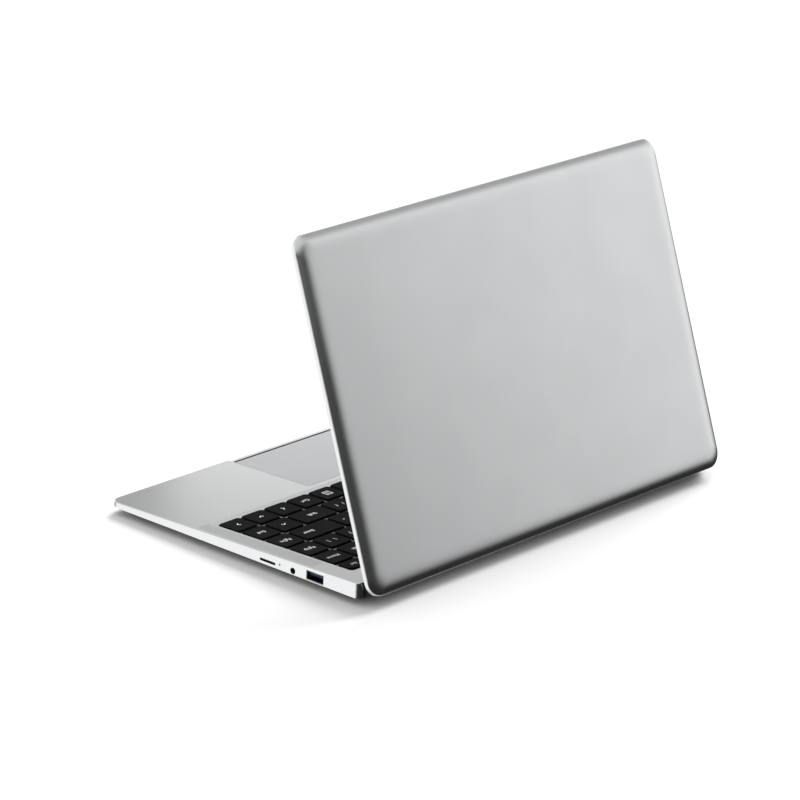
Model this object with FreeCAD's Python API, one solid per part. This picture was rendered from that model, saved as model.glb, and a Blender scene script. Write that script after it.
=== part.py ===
"""A slim wedge-shaped laptop computer with its lid partly open, as separate pieces in millimetres.

The frame has +X to the user's right, +Y to the back and +Z up, with the origin on the table under the middle of
the footprint. Pieces of the keyboard, touchpad and hinges are drawn in the deck's own plane (x, along, above) and
then laid on its slope. Pieces of the lid are drawn with the lid shut and then turned open about the hinge axis.
"""
import FreeCAD, Part
import math
import os
from FreeCAD import Placement, Rotation, Vector

# Base outline and wedge
WIDTH = 321.5
BASE_DEPTH = 196.0
FRONT_CORNER = 7.0
REAR_CORNER = 4.5
FOOT_HEIGHT = 1.2
TRAY_DEPTH = 3.4
SIDE_FRONT_HEIGHT = 3.3
SIDE_REAR_HEIGHT = 9.3
WALL = 1.5
DECK_PLATE = 1.5
TOP_EDGE_CUT = 0.4
TRAY_WALL = 1.2
TRAY_FLOOR = 1.0
TRAY_SIDE_INSET = 8.0
TRAY_END_INSET = 9.0
FIT = 0.1
ROOM = 0.4

# Lid
LID_TAIL = 6.6
LID_FRONT_LIP = 0.8
LID_GAP = 0.5
LID_RIM = 3.0
LID_CROWN = 1.55
CROWN_WIDTH = 12.0
CROWN_STEPS = 4
CROWN_CORNER = 3.0
LID_CORNER = 8.0
LID_WALL = 1.2
LID_SKIN = 0.7
LID_OPEN_DEG = 72.0
LID_LIMIT_DEG = 120.0

# Screen
SIDE_BORDER = 6.05
TOP_BORDER = 8.5
BOTTOM_BORDER = 22.4
BEZEL_THICK = 0.8
GLASS_THICK = 0.8
GLASS_BORDER = 1.3
GLASS_SIDE_BORDER = 3.2
GLASS_CHIN = 4.3
BACKLIGHT_THICK = 1.3
BACKLIGHT_INSET = 3.6
DRIVER_BOARD_WIDTH = 150.0
DRIVER_BOARD_DEPTH = 9.0
CAMERA_BOARD_WIDTH = 60.0
CAMERA_BOARD_DEPTH = 4.6
CAMERA_RADIUS = 1.6
BUMPER_LENGTH = 9.0
BUMPER_DEPTH = 2.4
BUMPER_HEIGHT = 0.3

# Hinges
HINGE_BEHIND = 1.5
HINGE_DROP = 2.4
HINGE_INSET = 46.75
PIN_RADIUS = 1.25
PIN_CLEARANCE = 0.05
BEARING_RADIUS = 2.4
BEARING_LENGTH = 11.0
ARM_LENGTH = 26.0
ARM_LEAF = 1.0
ARM_NECK = 2.2
ARM_REACH = 10.0
HINGE_COVER_RADIUS = 3.3
BRACKET_LEAF = 1.2
BRACKET_WIDTH = 30.0
BRACKET_DEPTH = 9.5
REAR_COVER_DEPTH = 4.5

# Keyboard
ROW_PITCH = 18.5
KEY_SPACE = 2.2
KEY_CORNER_CUT = 0.8
KEY_HEIGHT = 1.6
KEY_PROUD = 0.1
KEY_TRAVEL = 1.2
KEY_CLEARANCE = 0.35
FUNCTION_KEY_DEPTH = 10.6
FUNCTION_KEYS = 16
KEYBOARD_UNITS = 15.5
KEYBOARD_SIDE = 13.1125
KEYBOARD_BEHIND = 16.8
RECESS_DEPTH = 1.1
RECESS_SIDE = 1.6
RECESS_FRONT = 3.6
RECESS_REAR = 2.2
RECESS_CORNER = 2.5
WEB_THICK = 0.8
WEB_RIM = 1.0
MEMBRANE_THICK = 0.25
BACKPLATE_THICK = 0.4
OPENING_RIM = 1.0

# Touchpad
PAD_WIDTH = 122.0
PAD_BEHIND = 4.0
PAD_FRONT = 5.2
PAD_THICK = 1.0
PAD_SUNK = 0.1
PAD_CORNER = 2.0
PAD_GAP = 0.4
PAD_BRACKET_THICK = 0.4
PAD_BRACKET_DROP = 3.4
SWITCH_WIDTH = 6.0
SWITCH_DEPTH = 5.0
SWITCH_HEIGHT = 1.1
SCOOP_DEPTH = 2.2
SCOOP_DROP = 1.6

# Sockets in the right wall, measured forwards from the deck's rear edge and down from its top
USB_AHEAD = 33.3
USB_DROP = 4.95
USB_WIDTH = 12.5
USB_HEIGHT = 5.0
SHELL = 0.3
SOCKET_DEPTH = 11.0
TONGUE_THICK = 1.9
TONGUE_INSET = 0.7
JACK_AHEAD = 50.1
JACK_DROP = 5.46
JACK_RADIUS = 1.8
JACK_BODY = 4.8
CARD_AHEAD = 69.5
CARD_DROP = 4.85
CARD_WIDTH = 12.1
CARD_SLOT = 1.4
CARD_DEPTH = 14.5
LIGHT_AHEAD = 60.2
LIGHT_DROP = 4.4
LIGHT_RADIUS = 0.6
LIGHT_LENGTH = 4.0
TAB = 1.4
TAB_THICK = 0.4

# Sockets in the left wall
HDMI_AHEAD = 53.0
HDMI_WIDTH = 10.6
HDMI_HEIGHT = 2.6
POWER_AHEAD = 9.8
POWER_BODY = 7.4
POWER_HEIGHT = 5.2
POWER_RADIUS = 1.9
POWER_PIN_RADIUS = 0.65

# Boards and modules in the base
BOARD_THICK = 1.0
BOARD_HEIGHT = 5.1
BOARD_MARGIN = 0.5
BOARD_BOSS_RADIUS = 2.0
BOARD_DEPTH = 62.0
BOARD_SPACE = 6.0
MAIN_BOARD_AHEAD = 16.0
SIDE_BOARD_AHEAD = 18.0
SIDE_BOARD_WIDTH = 23.75
CHIP_SIZE = 24.0
CHIP_HEIGHT = 1.1
SPREADER_WIDTH = 120.0
SPREADER_DEPTH = 40.0
SPREADER_THICK = 0.5
MODULE_WIDTH = 22.0
MODULE_THICK = 0.8
STORAGE_LENGTH = 42.0
WIRELESS_LENGTH = 30.0
RIBBON_WIDTH = 12.0
RIBBON_THICK = 0.2
RIBBON_LAP = 5.0
CELL_SCREW_ROOM = 3.5
SIDE_CELL_FRONT = 17.0
SIDE_CELL_BEHIND = 4.2
SIDE_CELL_HEIGHT = 4.0
MIDDLE_CELL_WIDTH = 180.0
MIDDLE_CELL_DEPTH = 36.0
MIDDLE_CELL_AFTER = 6.8
MIDDLE_CELL_HEIGHT = 2.8
SPEAKER_LENGTH = 32.0
SPEAKER_AFTER = 10.8
SPEAKER_HEIGHT = 3.2
SPEAKER_DISH = 0.5

# Feet and fasteners
FOOT_LENGTH = 42.0
FOOT_DEPTH = 8.0
FOOT_INSET = 48.75
FRONT_FOOT_ALONG = 24.0
REAR_FOOT_AHEAD = 20.0
SCREW_RADIUS = 0.9
SCREW_HEAD_RADIUS = 1.8
SCREW_HEAD_HEIGHT = 0.5
SCREW_LENGTH = 4.0
POST_RADIUS = 2.3
POST_SIDES = 6
BAR_SIDES = 8
CORNER_SCREW_INSET = 16.75
INNER_SCREW_INSET = 80.75
FRONT_SCREW_ALONG = 13.0
MIDDLE_SCREW_INSET = 13.25
MIDDLE_SCREW_BEHIND = 7.2
REAR_SCREW_INSET = 22.75
CENTRE_SCREW_X = 40.0
REAR_SCREW_AHEAD = 12.8

# Levels and places that follow from the sizes
SEAM_Z = FOOT_HEIGHT + TRAY_DEPTH
FLOOR_Z = FOOT_HEIGHT + TRAY_FLOOR
DECK_FRONT_Z = SEAM_Z + SIDE_FRONT_HEIGHT
TILT = math.atan2(SIDE_REAR_HEIGHT - SIDE_FRONT_HEIGHT, BASE_DEPTH)
DECK_LENGTH = BASE_DEPTH / math.cos(TILT)
LID_THICK = LID_RIM + LID_CROWN
LID_FRONT = -LID_FRONT_LIP
HINGE_ALONG = BASE_DEPTH + HINGE_BEHIND
LID_REAR = HINGE_ALONG + LID_TAIL
LID_TOP = LID_GAP + LID_THICK
LID_SEAT = HINGE_DROP + LID_GAP
OPEN = math.radians(LID_OPEN_DEG)
LIMIT = math.radians(LID_LIMIT_DEG)
LID_BACK_REACH = (HINGE_DROP + LID_TOP) * math.sin(OPEN) + (LID_REAR - HINGE_ALONG) * math.cos(OPEN)
FRONT_Y = -(HINGE_ALONG + LID_BACK_REACH) / 2
REAR_Y = FRONT_Y + BASE_DEPTH
SIDE_X = WIDTH / 2
INNER_X = SIDE_X - WALL
HINGE_X = SIDE_X - HINGE_INSET
FAR = 2 * WIDTH
BOARD_TOP = BOARD_HEIGHT + BOARD_THICK
BOARD_EDGE_X = INNER_X - BOARD_MARGIN
BEZEL_BACK = LID_GAP + BEZEL_THICK
SCREEN_HALF = SIDE_X - SIDE_BORDER
SCREEN_TOP = LID_FRONT + TOP_BORDER
SCREEN_BOTTOM = LID_REAR - BOTTOM_BORDER
GLASS_BOTTOM = SCREEN_BOTTOM + GLASS_CHIN
KEYBOARD_HALF = SIDE_X - KEYBOARD_SIDE
KEY_PITCH = 2 * KEYBOARD_HALF / KEYBOARD_UNITS
KEY_OUTER = KEYBOARD_HALF - KEY_SPACE / 2
RECESS_FAR = BASE_DEPTH - KEYBOARD_BEHIND
FUNCTION_FRONT = RECESS_FAR - RECESS_REAR - FUNCTION_KEY_DEPTH
KEYBOARD_FRONT = FUNCTION_FRONT - 5 * ROW_PITCH
RECESS_HALF = KEY_OUTER + RECESS_SIDE
RECESS_NEAR = KEYBOARD_FRONT - RECESS_FRONT
KEY_TOP = KEY_PROUD
KEY_BOTTOM = KEY_TOP - KEY_HEIGHT
MEMBRANE_TOP = KEY_BOTTOM - KEY_TRAVEL - FIT
BACKPLATE_TOP = MEMBRANE_TOP - MEMBRANE_THICK
PAD_REAR = RECESS_NEAR - PAD_BEHIND
PAD_TOP = -PAD_SUNK
BRACKET_TOP = -PAD_BRACKET_DROP + PAD_BRACKET_THICK
PAD_BRACKET_GROW = RECESS_NEAR - OPENING_RIM - ROOM - PAD_REAR
USB_ALONG = BASE_DEPTH - USB_AHEAD
JACK_ALONG = BASE_DEPTH - JACK_AHEAD
CARD_ALONG = BASE_DEPTH - CARD_AHEAD
LIGHT_ALONG = BASE_DEPTH - LIGHT_AHEAD
HDMI_ALONG = BASE_DEPTH - HDMI_AHEAD
POWER_ALONG = BASE_DEPTH - POWER_AHEAD
MAIN_BOARD_REAR = BASE_DEPTH - MAIN_BOARD_AHEAD
MAIN_BOARD_FRONT = MAIN_BOARD_REAR - BOARD_DEPTH
SIDE_BOARD_REAR = BASE_DEPTH - SIDE_BOARD_AHEAD
SIDE_BOARD_FRONT = SIDE_BOARD_REAR - BOARD_DEPTH
SIDE_BOARD_LEFT = SIDE_X - SIDE_BOARD_WIDTH
MAIN_BOARD_RIGHT = SIDE_BOARD_LEFT - BOARD_SPACE
CORNER_SCREW_X = SIDE_X - CORNER_SCREW_INSET
INNER_SCREW_X = SIDE_X - INNER_SCREW_INSET
MIDDLE_SCREW_X = SIDE_X - MIDDLE_SCREW_INSET
REAR_SCREW_X = SIDE_X - REAR_SCREW_INSET
MIDDLE_SCREW_ALONG = RECESS_NEAR - MIDDLE_SCREW_BEHIND
REAR_SCREW_ALONG = BASE_DEPTH - REAR_SCREW_AHEAD
SIDE_CELL_END_X = MIDDLE_SCREW_X - CELL_SCREW_ROOM
SIDE_CELL_REAR = RECESS_NEAR - SIDE_CELL_BEHIND
MIDDLE_CELL_FRONT = RECESS_NEAR + MIDDLE_CELL_AFTER
SPEAKER_ALONG = RECESS_NEAR + SPEAKER_AFTER
FOOT_X = SIDE_X - FOOT_INSET
REAR_FOOT_ALONG = BASE_DEPTH - REAR_FOOT_AHEAD
SCREW_HOLE = SCREW_RADIUS + PIN_CLEARANCE
COVER_NOSE = LID_SEAT - ROOM
TROUGH_RADIUS = HINGE_COVER_RADIUS + ROOM
COVER_FRONT = DECK_LENGTH - REAR_COVER_DEPTH
COVER_START_X = HINGE_X - ARM_LENGTH / 2 - FIT
COVER_END_X = HINGE_X + ARM_LENGTH / 2 + 2 * ROOM
BEARING_END_X = COVER_START_X - ROOM
BEARING_START_X = BEARING_END_X - BEARING_LENGTH
LEAF_TOP = -HINGE_DROP - BEARING_RADIUS + BRACKET_LEAF
LEAF_REAR = COVER_FRONT - FIT
LEAF_FRONT = LEAF_REAR - BRACKET_DEPTH
ARM_LEAF_TOP = BEZEL_BACK + TAB_THICK + ARM_LEAF
ARM_LEAF_FRONT = HINGE_ALONG - ARM_REACH

# Each row of keys from the front: its group's name, then (width in key pitches, how many, name if it stands alone)
KEY_ROWS = (
    ("modifier_keys", ((1, 4, None), (5.5, 1, "space_bar"), (1, 6, None))),
    ("lower_letter_keys", ((2, 1, "left_shift_key"), (1, 10, None), (1.5, 1, "right_shift_key"), (1, 2, None))),
    ("home_letter_keys", ((1.75, 1, None), (1, 11, None), (1.75, 1, "enter_key"), (1, 1, None))),
    ("upper_letter_keys", ((1.5, 1, None), (1, 14, None))),
    ("number_keys", ((1, 13, None), (1.5, 1, "backspace_key"), (1, 1, None))),
    ("function_keys", ((KEYBOARD_UNITS / FUNCTION_KEYS, FUNCTION_KEYS, None),)),
)

DECK_PLACE = Placement(Vector(0, FRONT_Y, DECK_FRONT_Z), Rotation(Vector(1, 0, 0), math.degrees(TILT)))
OPEN_PLACE = Placement(
    Vector(0, 0, 0), Rotation(Vector(1, 0, 0), -LID_OPEN_DEG), Vector(0, HINGE_ALONG, -HINGE_DROP)
)


def on_deck(shape):
    """Lay a shape drawn in the deck's plane on the deck's slope."""
    laid = shape.copy()
    laid.Placement = DECK_PLACE.multiply(laid.Placement)
    return laid


def on_lid(shape):
    """Turn a shape drawn with the lid shut to where the open lid holds it."""
    turned = shape.copy()
    turned.Placement = DECK_PLACE.multiply(OPEN_PLACE).multiply(turned.Placement)
    return turned


def deck_point(x, along, above):
    """The place in the table's frame of a point given in the deck's plane."""
    return DECK_PLACE.multVec(Vector(x, along, above))


def block(x0, x1, y0, y1, z0, z1):
    """A box between two corners."""
    return Part.makeBox(x1 - x0, y1 - y0, z1 - z0, Vector(x0, y0, z0))


def corner_arc(x, y, z, radius, start):
    """A quarter circle about (x, y) that starts at an angle in degrees."""
    points = []
    for turn in (0, 45, 90):
        angle = math.radians(start + turn)
        points.append(Vector(x + radius * math.cos(angle), y + radius * math.sin(angle), z))
    return Part.Arc(*points).toShape()


def rounded_wire(x0, x1, y0, y1, z, front, rear=None):
    """A rectangle's outline with its front and rear corners rounded."""
    back = front if rear is None else rear
    return Part.Wire(
        [
            Part.LineSegment(Vector(x0 + front, y0, z), Vector(x1 - front, y0, z)).toShape(),
            corner_arc(x1 - front, y0 + front, z, front, 270),
            Part.LineSegment(Vector(x1, y0 + front, z), Vector(x1, y1 - back, z)).toShape(),
            corner_arc(x1 - back, y1 - back, z, back, 0),
            Part.LineSegment(Vector(x1 - back, y1, z), Vector(x0 + back, y1, z)).toShape(),
            corner_arc(x0 + back, y1 - back, z, back, 90),
            Part.LineSegment(Vector(x0, y1 - back, z), Vector(x0, y0 + front, z)).toShape(),
            corner_arc(x0 + front, y0 + front, z, front, 180),
        ]
    )


def plate(x0, x1, y0, y1, z0, z1, front, rear=None):
    """A plate with rounded corners between two levels."""
    return Part.Face(rounded_wire(x0, x1, y0, y1, z0, front, rear)).extrude(Vector(0, 0, z1 - z0))


def rod_x(x0, x1, y, z, radius):
    """A round bar along X."""
    return Part.makeCylinder(radius, x1 - x0, Vector(x0, y, z), Vector(1, 0, 0))


def rod_z(x, y, z0, z1, radius):
    """An upright round bar."""
    return Part.makeCylinder(radius, z1 - z0, Vector(x, y, z0), Vector(0, 0, 1))


def ring(a, b, radius, sides):
    """The corners of a regular polygon about (a, b), with a flat at the bottom."""
    turns = [math.pi * (2 * step + 1) / sides - math.pi / 2 for step in range(sides)]
    return [(a + radius * math.cos(turn), b + radius * math.sin(turn)) for turn in turns]


def post(x, y, z0, z1, radius):
    """An upright many-sided bar, for small posts, screws and their holes."""
    corners = [Vector(a, b, z0) for a, b in ring(x, y, radius, POST_SIDES)]
    return Part.Face(Part.makePolygon(corners + corners[:1])).extrude(Vector(0, 0, z1 - z0))


def cut_wire(x0, x1, y0, y1, z, cut):
    """A rectangle's outline with its corners cut off at 45 degrees."""
    corners = [
        Vector(x0 + cut, y0, z),
        Vector(x1 - cut, y0, z),
        Vector(x1, y0 + cut, z),
        Vector(x1, y1 - cut, z),
        Vector(x1 - cut, y1, z),
        Vector(x0 + cut, y1, z),
        Vector(x0, y1 - cut, z),
        Vector(x0, y0 + cut, z),
    ]
    return Part.makePolygon(corners + corners[:1])


def cut_plate(x0, x1, y0, y1, z0, z1, cut):
    """A plate with its corners cut off between two levels."""
    return Part.Face(cut_wire(x0, x1, y0, y1, z0, cut)).extrude(Vector(0, 0, z1 - z0))


def extruded(points, x0, x1):
    """A side profile of (y, z) points carried along X."""
    corners = [Vector(x0, y, z) for y, z in points]
    face = Part.Face(Part.makePolygon(corners + corners[:1]))
    return face.extrude(Vector(x1 - x0, 0, 0))


def bar_x(x0, x1, y, z, radius):
    """A many-sided bar along X, for round things too small or too hidden to need a true circle."""
    return extruded(ring(y, z, radius, BAR_SIDES), x0, x1)


def slot_x(x0, x1, y, z, width, height):
    """A bar along X with a long round-ended section."""
    radius = height / 2
    middle = block(x0, x1, y - width / 2 + radius, y + width / 2 - radius, z - radius, z + radius)
    ends = [rod_x(x0, x1, y + side * (width / 2 - radius), z, radius) for side in (-1, 1)]
    return middle.fuse(ends).removeSplitter()


def mirrored(shape):
    """The same shape on the other side of the middle plane."""
    return shape.mirror(Vector(0, 0, 0), Vector(1, 0, 0))


def both_sides(shapes):
    """The shapes and their mirror images."""
    return shapes + [mirrored(shape) for shape in shapes]


def screw_places():
    """Where the bottom cover's screws stand, as (x, y) on the table."""
    right = (
        (CORNER_SCREW_X, FRONT_SCREW_ALONG),
        (INNER_SCREW_X, FRONT_SCREW_ALONG),
        (MIDDLE_SCREW_X, MIDDLE_SCREW_ALONG),
        (REAR_SCREW_X, REAR_SCREW_ALONG),
        (CENTRE_SCREW_X, REAR_SCREW_ALONG),
    )
    return [(side * x, FRONT_Y + along) for x, along in right for side in (-1, 1)]


def bracket_screw_places():
    """Where the screws hold the right hinge bracket under the deck, as (x, along)."""
    along = (LEAF_FRONT + LEAF_REAR) / 2
    step = BRACKET_WIDTH / 2 - 2 * POST_RADIUS
    middle = (BEARING_START_X + BEARING_END_X) / 2
    return [(middle + offset, along) for offset in (-step, step)]


def arm_screw_places():
    """Where the screws hold the right hinge arm in the lid, as (x, along)."""
    along = ARM_LEAF_FRONT + 2 * POST_RADIUS - SCREW_HEAD_RADIUS
    step = ARM_LENGTH / 2 - 2 * POST_RADIUS
    return [(HINGE_X + offset, along) for offset in (-step, step)]


def deck_z(y):
    """The height of the deck's top above the table at a place y."""
    return DECK_FRONT_Z + (y - FRONT_Y) * math.tan(TILT)


def socket_place(along, drop):
    """The (y, z) of a socket's middle, given along the deck and down from its top."""
    place = deck_point(0, along, -drop)
    return place.y, place.z


def left_socket_y(along):
    """The y of a socket in the left wall."""
    return deck_point(0, along, 0).y


def keyboard_opening(shrink, above0, above1):
    """The keyboard's opening in the deck's plane, made smaller all round by a margin."""
    return plate(
        -RECESS_HALF + shrink,
        RECESS_HALF - shrink,
        RECESS_NEAR + shrink,
        RECESS_FAR - shrink,
        above0,
        above1,
        max(RECESS_CORNER - shrink, FIT),
    )


def pad_opening(grow, above0, above1):
    """The touchpad's outline in the deck's plane, made larger all round by a margin."""
    half = PAD_WIDTH / 2 + grow
    return plate(-half, half, PAD_FRONT - grow, PAD_REAR + grow, above0, above1, PAD_CORNER + grow)


def pad_box(grow, above0, above1):
    """The hidden space round the touchpad, with its corners cut off."""
    half = PAD_WIDTH / 2 + grow
    return cut_plate(-half, half, PAD_FRONT - grow, PAD_REAR + grow, above0, above1, PAD_CORNER)


def keyboard_sheet(grow, above0, above1):
    """A hidden sheet under the keyboard's opening, reaching past it by a margin."""
    half = RECESS_HALF + grow
    return cut_plate(-half, half, RECESS_NEAR - grow, RECESS_FAR + grow, above0, above1, RECESS_CORNER)


def wall_sockets():
    """The cuts through the side walls for every socket, slot and light."""
    outer = SIDE_X + WALL
    inner = INNER_X - WALL
    half_width = USB_WIDTH / 2 + SHELL + FIT
    half_height = USB_HEIGHT / 2 + SHELL + FIT
    y, z = socket_place(USB_ALONG, USB_DROP)
    usb = block(inner, outer, y - half_width, y + half_width, z - half_height, z + half_height)
    y, z = socket_place(JACK_ALONG, JACK_DROP)
    jack = rod_x(inner, outer, y, z, JACK_RADIUS + FIT)
    y, z = socket_place(LIGHT_ALONG, LIGHT_DROP)
    light = bar_x(inner, outer, y, z, LIGHT_RADIUS + PIN_CLEARANCE)
    y, z = socket_place(CARD_ALONG, CARD_DROP)
    card = slot_x(inner, outer, y, z, CARD_WIDTH, CARD_SLOT + 2 * FIT)
    half_width = HDMI_WIDTH / 2 + SHELL + FIT
    y = left_socket_y(HDMI_ALONG)
    hdmi_top = BOARD_TOP + HDMI_HEIGHT + 2 * SHELL + FIT
    hdmi = block(-outer, -inner, y - half_width, y + half_width, BOARD_TOP - FIT, hdmi_top)
    y = left_socket_y(POWER_ALONG)
    power = rod_x(-outer, -inner, y, BOARD_TOP + POWER_HEIGHT / 2, POWER_RADIUS + FIT)
    return [usb, mirrored(usb), jack, light, card, hdmi, power]


def hinge_trough():
    """The round channel about the right hinge's axis that its bearing and cover turn in."""
    x0 = BEARING_START_X - ROOM
    x1 = COVER_END_X + ROOM
    return rod_x(x0, x1, HINGE_ALONG, -HINGE_DROP, TROUGH_RADIUS)


def palm_rest_deck():
    """The metal deck: a sloping top plate with walls on three sides, openings, posts and sockets."""
    body = plate(-SIDE_X, SIDE_X, FRONT_Y, REAR_Y, SEAM_Z, deck_z(REAR_Y) + WALL, FRONT_CORNER, REAR_CORNER)
    body = body.cut(on_deck(block(-FAR, FAR, -FAR, FAR, 0, FAR)))
    top_edges = []
    for edge in body.Edges:
        heights = [abs(vertex.Z - deck_z(vertex.Y)) for vertex in edge.Vertexes]
        if max(heights) < FIT:
            top_edges.append(edge)
    body = body.makeChamfer(TOP_EDGE_CUT, top_edges)
    hollow = plate(
        -INNER_X, INNER_X, FRONT_Y + WALL, REAR_Y + FAR, 0, FAR, FRONT_CORNER - WALL
    ).common(on_deck(block(-FAR, FAR, -FAR, FAR, -FAR, -DECK_PLATE)))
    corner = block(SIDE_X - REAR_CORNER, SIDE_X, REAR_Y - REAR_CORNER, REAR_Y, 0, FAR)
    body = body.cut(hollow.cut(both_sides([corner])))
    rim = keyboard_sheet(OPENING_RIM, BACKPLATE_TOP, -DECK_PLATE)
    posts = [post(x, y, FLOOR_Z, deck_z(y) - DECK_PLATE / 2, POST_RADIUS) for x, y in screw_places()]
    bosses = [post(x, along, LEAF_TOP, -DECK_PLATE / 2, POST_RADIUS) for x, along in bracket_screw_places()]
    body = body.fuse([on_deck(shape) for shape in [rim] + both_sides(bosses)] + posts)
    scoop_run = [(-SCOOP_DEPTH, -2 * SCOOP_DROP), (2 * SCOOP_DEPTH, SCOOP_DROP), (-SCOOP_DEPTH, SCOOP_DROP)]
    scoop = extruded(scoop_run, -PAD_WIDTH / 2, PAD_WIDTH / 2)
    pilot_length = SCREW_LENGTH - TRAY_FLOOR + ROOM
    pilots = [post(x, y, FLOOR_Z - FIT, FLOOR_Z + pilot_length, SCREW_HOLE) for x, y in screw_places()]
    bracket_pilots = [
        post(x, along, LEAF_TOP - FIT, -DECK_PLATE, SCREW_HOLE) for x, along in bracket_screw_places()
    ]
    cuts = [
        keyboard_opening(0, -FAR, FAR),
        pad_opening(PAD_GAP, -FAR, FAR),
        scoop,
        *both_sides([hinge_trough()]),
        *both_sides(bracket_pilots),
    ]
    return body.cut([on_deck(shape) for shape in cuts] + pilots + wall_sockets()).removeSplitter()


def tray():
    """The bottom cover's outer form, from the seam down to a smaller flat."""
    half = SIDE_X - TRAY_SIDE_INSET
    upper = rounded_wire(-SIDE_X, SIDE_X, FRONT_Y, REAR_Y, SEAM_Z, FRONT_CORNER, REAR_CORNER)
    lower = rounded_wire(
        -half, half, FRONT_Y + TRAY_END_INSET, REAR_Y - TRAY_END_INSET, FOOT_HEIGHT, FRONT_CORNER, REAR_CORNER
    )
    return Part.makeLoft([upper, lower], True, True)


def tray_hollow():
    """The bottom cover's inside, with its corners cut off."""
    outlines = []
    for side, end, z in ((0, 0, SEAM_Z), (TRAY_SIDE_INSET, TRAY_END_INSET, FLOOR_Z)):
        half = SIDE_X - TRAY_WALL - side
        front = FRONT_Y + TRAY_WALL + end
        rear = REAR_Y - TRAY_WALL - end
        outlines.append(cut_wire(-half, half, front, rear, z, FRONT_CORNER - TRAY_WALL))
    return Part.makeLoft(outlines, True, True)


def board_boss_places():
    """Where the boards stand on bosses of the bottom cover, as (x, y)."""
    margin = 2 * BOARD_BOSS_RADIUS
    main_x = (-BOARD_EDGE_X + TRAY_SIDE_INSET + margin, 0, MAIN_BOARD_RIGHT - margin)
    main_y = (FRONT_Y + MAIN_BOARD_FRONT + margin, FRONT_Y + MAIN_BOARD_REAR - margin)
    side_y = (FRONT_Y + SIDE_BOARD_FRONT + margin, FRONT_Y + SIDE_BOARD_REAR - margin)
    places = [(x, y) for x in main_x for y in main_y]
    return places + [(SIDE_BOARD_LEFT + margin, y) for y in side_y]


def bottom_cover():
    """The shallow bottom tray with stepped screw holes and bosses for the boards."""
    body = tray().cut(tray_hollow())
    bosses = [
        post(x, y, FLOOR_Z - TRAY_FLOOR / 2, BOARD_HEIGHT, BOARD_BOSS_RADIUS) for x, y in board_boss_places()
    ]
    body = body.fuse(bosses)
    holes = []
    for x, y in screw_places():
        holes.append(post(x, y, 0, SEAM_Z, SCREW_HOLE))
        holes.append(post(x, y, 0, FOOT_HEIGHT + SCREW_HEAD_HEIGHT, SCREW_HEAD_RADIUS + FIT))
    return body.cut(holes).removeSplitter()


def bottom_screws():
    """The flush screws that hold the bottom cover to the deck's posts."""
    screws = []
    for x, y in screw_places():
        head = post(x, y, FOOT_HEIGHT, FOOT_HEIGHT + SCREW_HEAD_HEIGHT, SCREW_HEAD_RADIUS)
        shank = post(x, y, FOOT_HEIGHT, FOOT_HEIGHT + SCREW_LENGTH, SCREW_RADIUS)
        screws.append(head.fuse(shank).removeSplitter())
    return Part.makeCompound(screws)


def rubber_feet():
    """Four long rubber feet under the bottom cover."""
    cut = FOOT_DEPTH / 4
    feet = []
    for along in (FRONT_FOOT_ALONG, REAR_FOOT_ALONG):
        y0 = FRONT_Y + along - FOOT_DEPTH / 2
        x0 = FOOT_X - FOOT_LENGTH / 2
        feet.append(cut_plate(x0, x0 + FOOT_LENGTH, y0, y0 + FOOT_DEPTH, 0, FOOT_HEIGHT, cut))
    return Part.makeCompound(both_sides(feet))


def rear_cover():
    """The dark bar behind the deck, with a round nose about the hinge axis and channels for the hinges."""
    nose_start = HINGE_ALONG + math.sqrt(COVER_NOSE**2 - HINGE_DROP**2)
    last = Vector(0, math.sin(LIMIT), math.cos(LIMIT)).multiply(COVER_NOSE)
    start_angle = math.asin(HINGE_DROP / COVER_NOSE)
    middle_angle = (start_angle + math.atan2(last.z, last.y)) / 2
    axis = Vector(0, HINGE_ALONG, -HINGE_DROP)
    middle = Vector(0, math.cos(middle_angle), math.sin(middle_angle)).multiply(COVER_NOSE)
    fall = SIDE_REAR_HEIGHT + TRAY_DEPTH
    slope = fall * math.tan(LIMIT - math.pi / 2)
    foot = axis + last + Vector(0, -slope, -fall)
    corners = [
        Vector(0, DECK_LENGTH, 0),
        Vector(0, DECK_LENGTH, -DECK_PLATE),
        Vector(0, COVER_FRONT, -DECK_PLATE),
        Vector(0, COVER_FRONT, foot.z),
        foot,
        axis + last,
    ]
    edges = [Part.LineSegment(a, b).toShape() for a, b in zip(corners, corners[1:])]
    top = Vector(0, nose_start, 0)
    edges.append(Part.Arc(axis + last, axis + middle, top).toShape())
    edges.append(Part.LineSegment(top, corners[0]).toShape())
    face = Part.Face(Part.Wire(edges))
    half = SIDE_X - REAR_CORNER - FIT
    face.translate(Vector(-half, 0, 0))
    bar = face.extrude(Vector(2 * half, 0, 0))
    neck = block(
        BEARING_START_X - ROOM,
        BEARING_END_X + ROOM,
        COVER_FRONT - FIT,
        HINGE_ALONG,
        LEAF_TOP - BRACKET_LEAF - ROOM,
        LEAF_TOP + ROOM,
    )
    bar = on_deck(bar.cut(both_sides([hinge_trough(), neck])))
    return bar.cut(block(-FAR, FAR, -FAR, FAR, -FAR, SEAM_Z))


def key_spans():
    """Every key as (group name, own name or None, left x, right x, front, rear) in the deck's plane."""
    spans = []
    for row, (group, runs) in enumerate(KEY_ROWS):
        left = -KEYBOARD_HALF
        front = KEYBOARD_FRONT + row * ROW_PITCH
        depth = FUNCTION_KEY_DEPTH if group == "function_keys" else ROW_PITCH - KEY_SPACE
        for units, count, name in runs:
            for _ in range(count):
                right = left + units * KEY_PITCH
                spans.append((group, name, left + KEY_SPACE / 2, right - KEY_SPACE / 2, front, front + depth))
                left = right
    return spans


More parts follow.
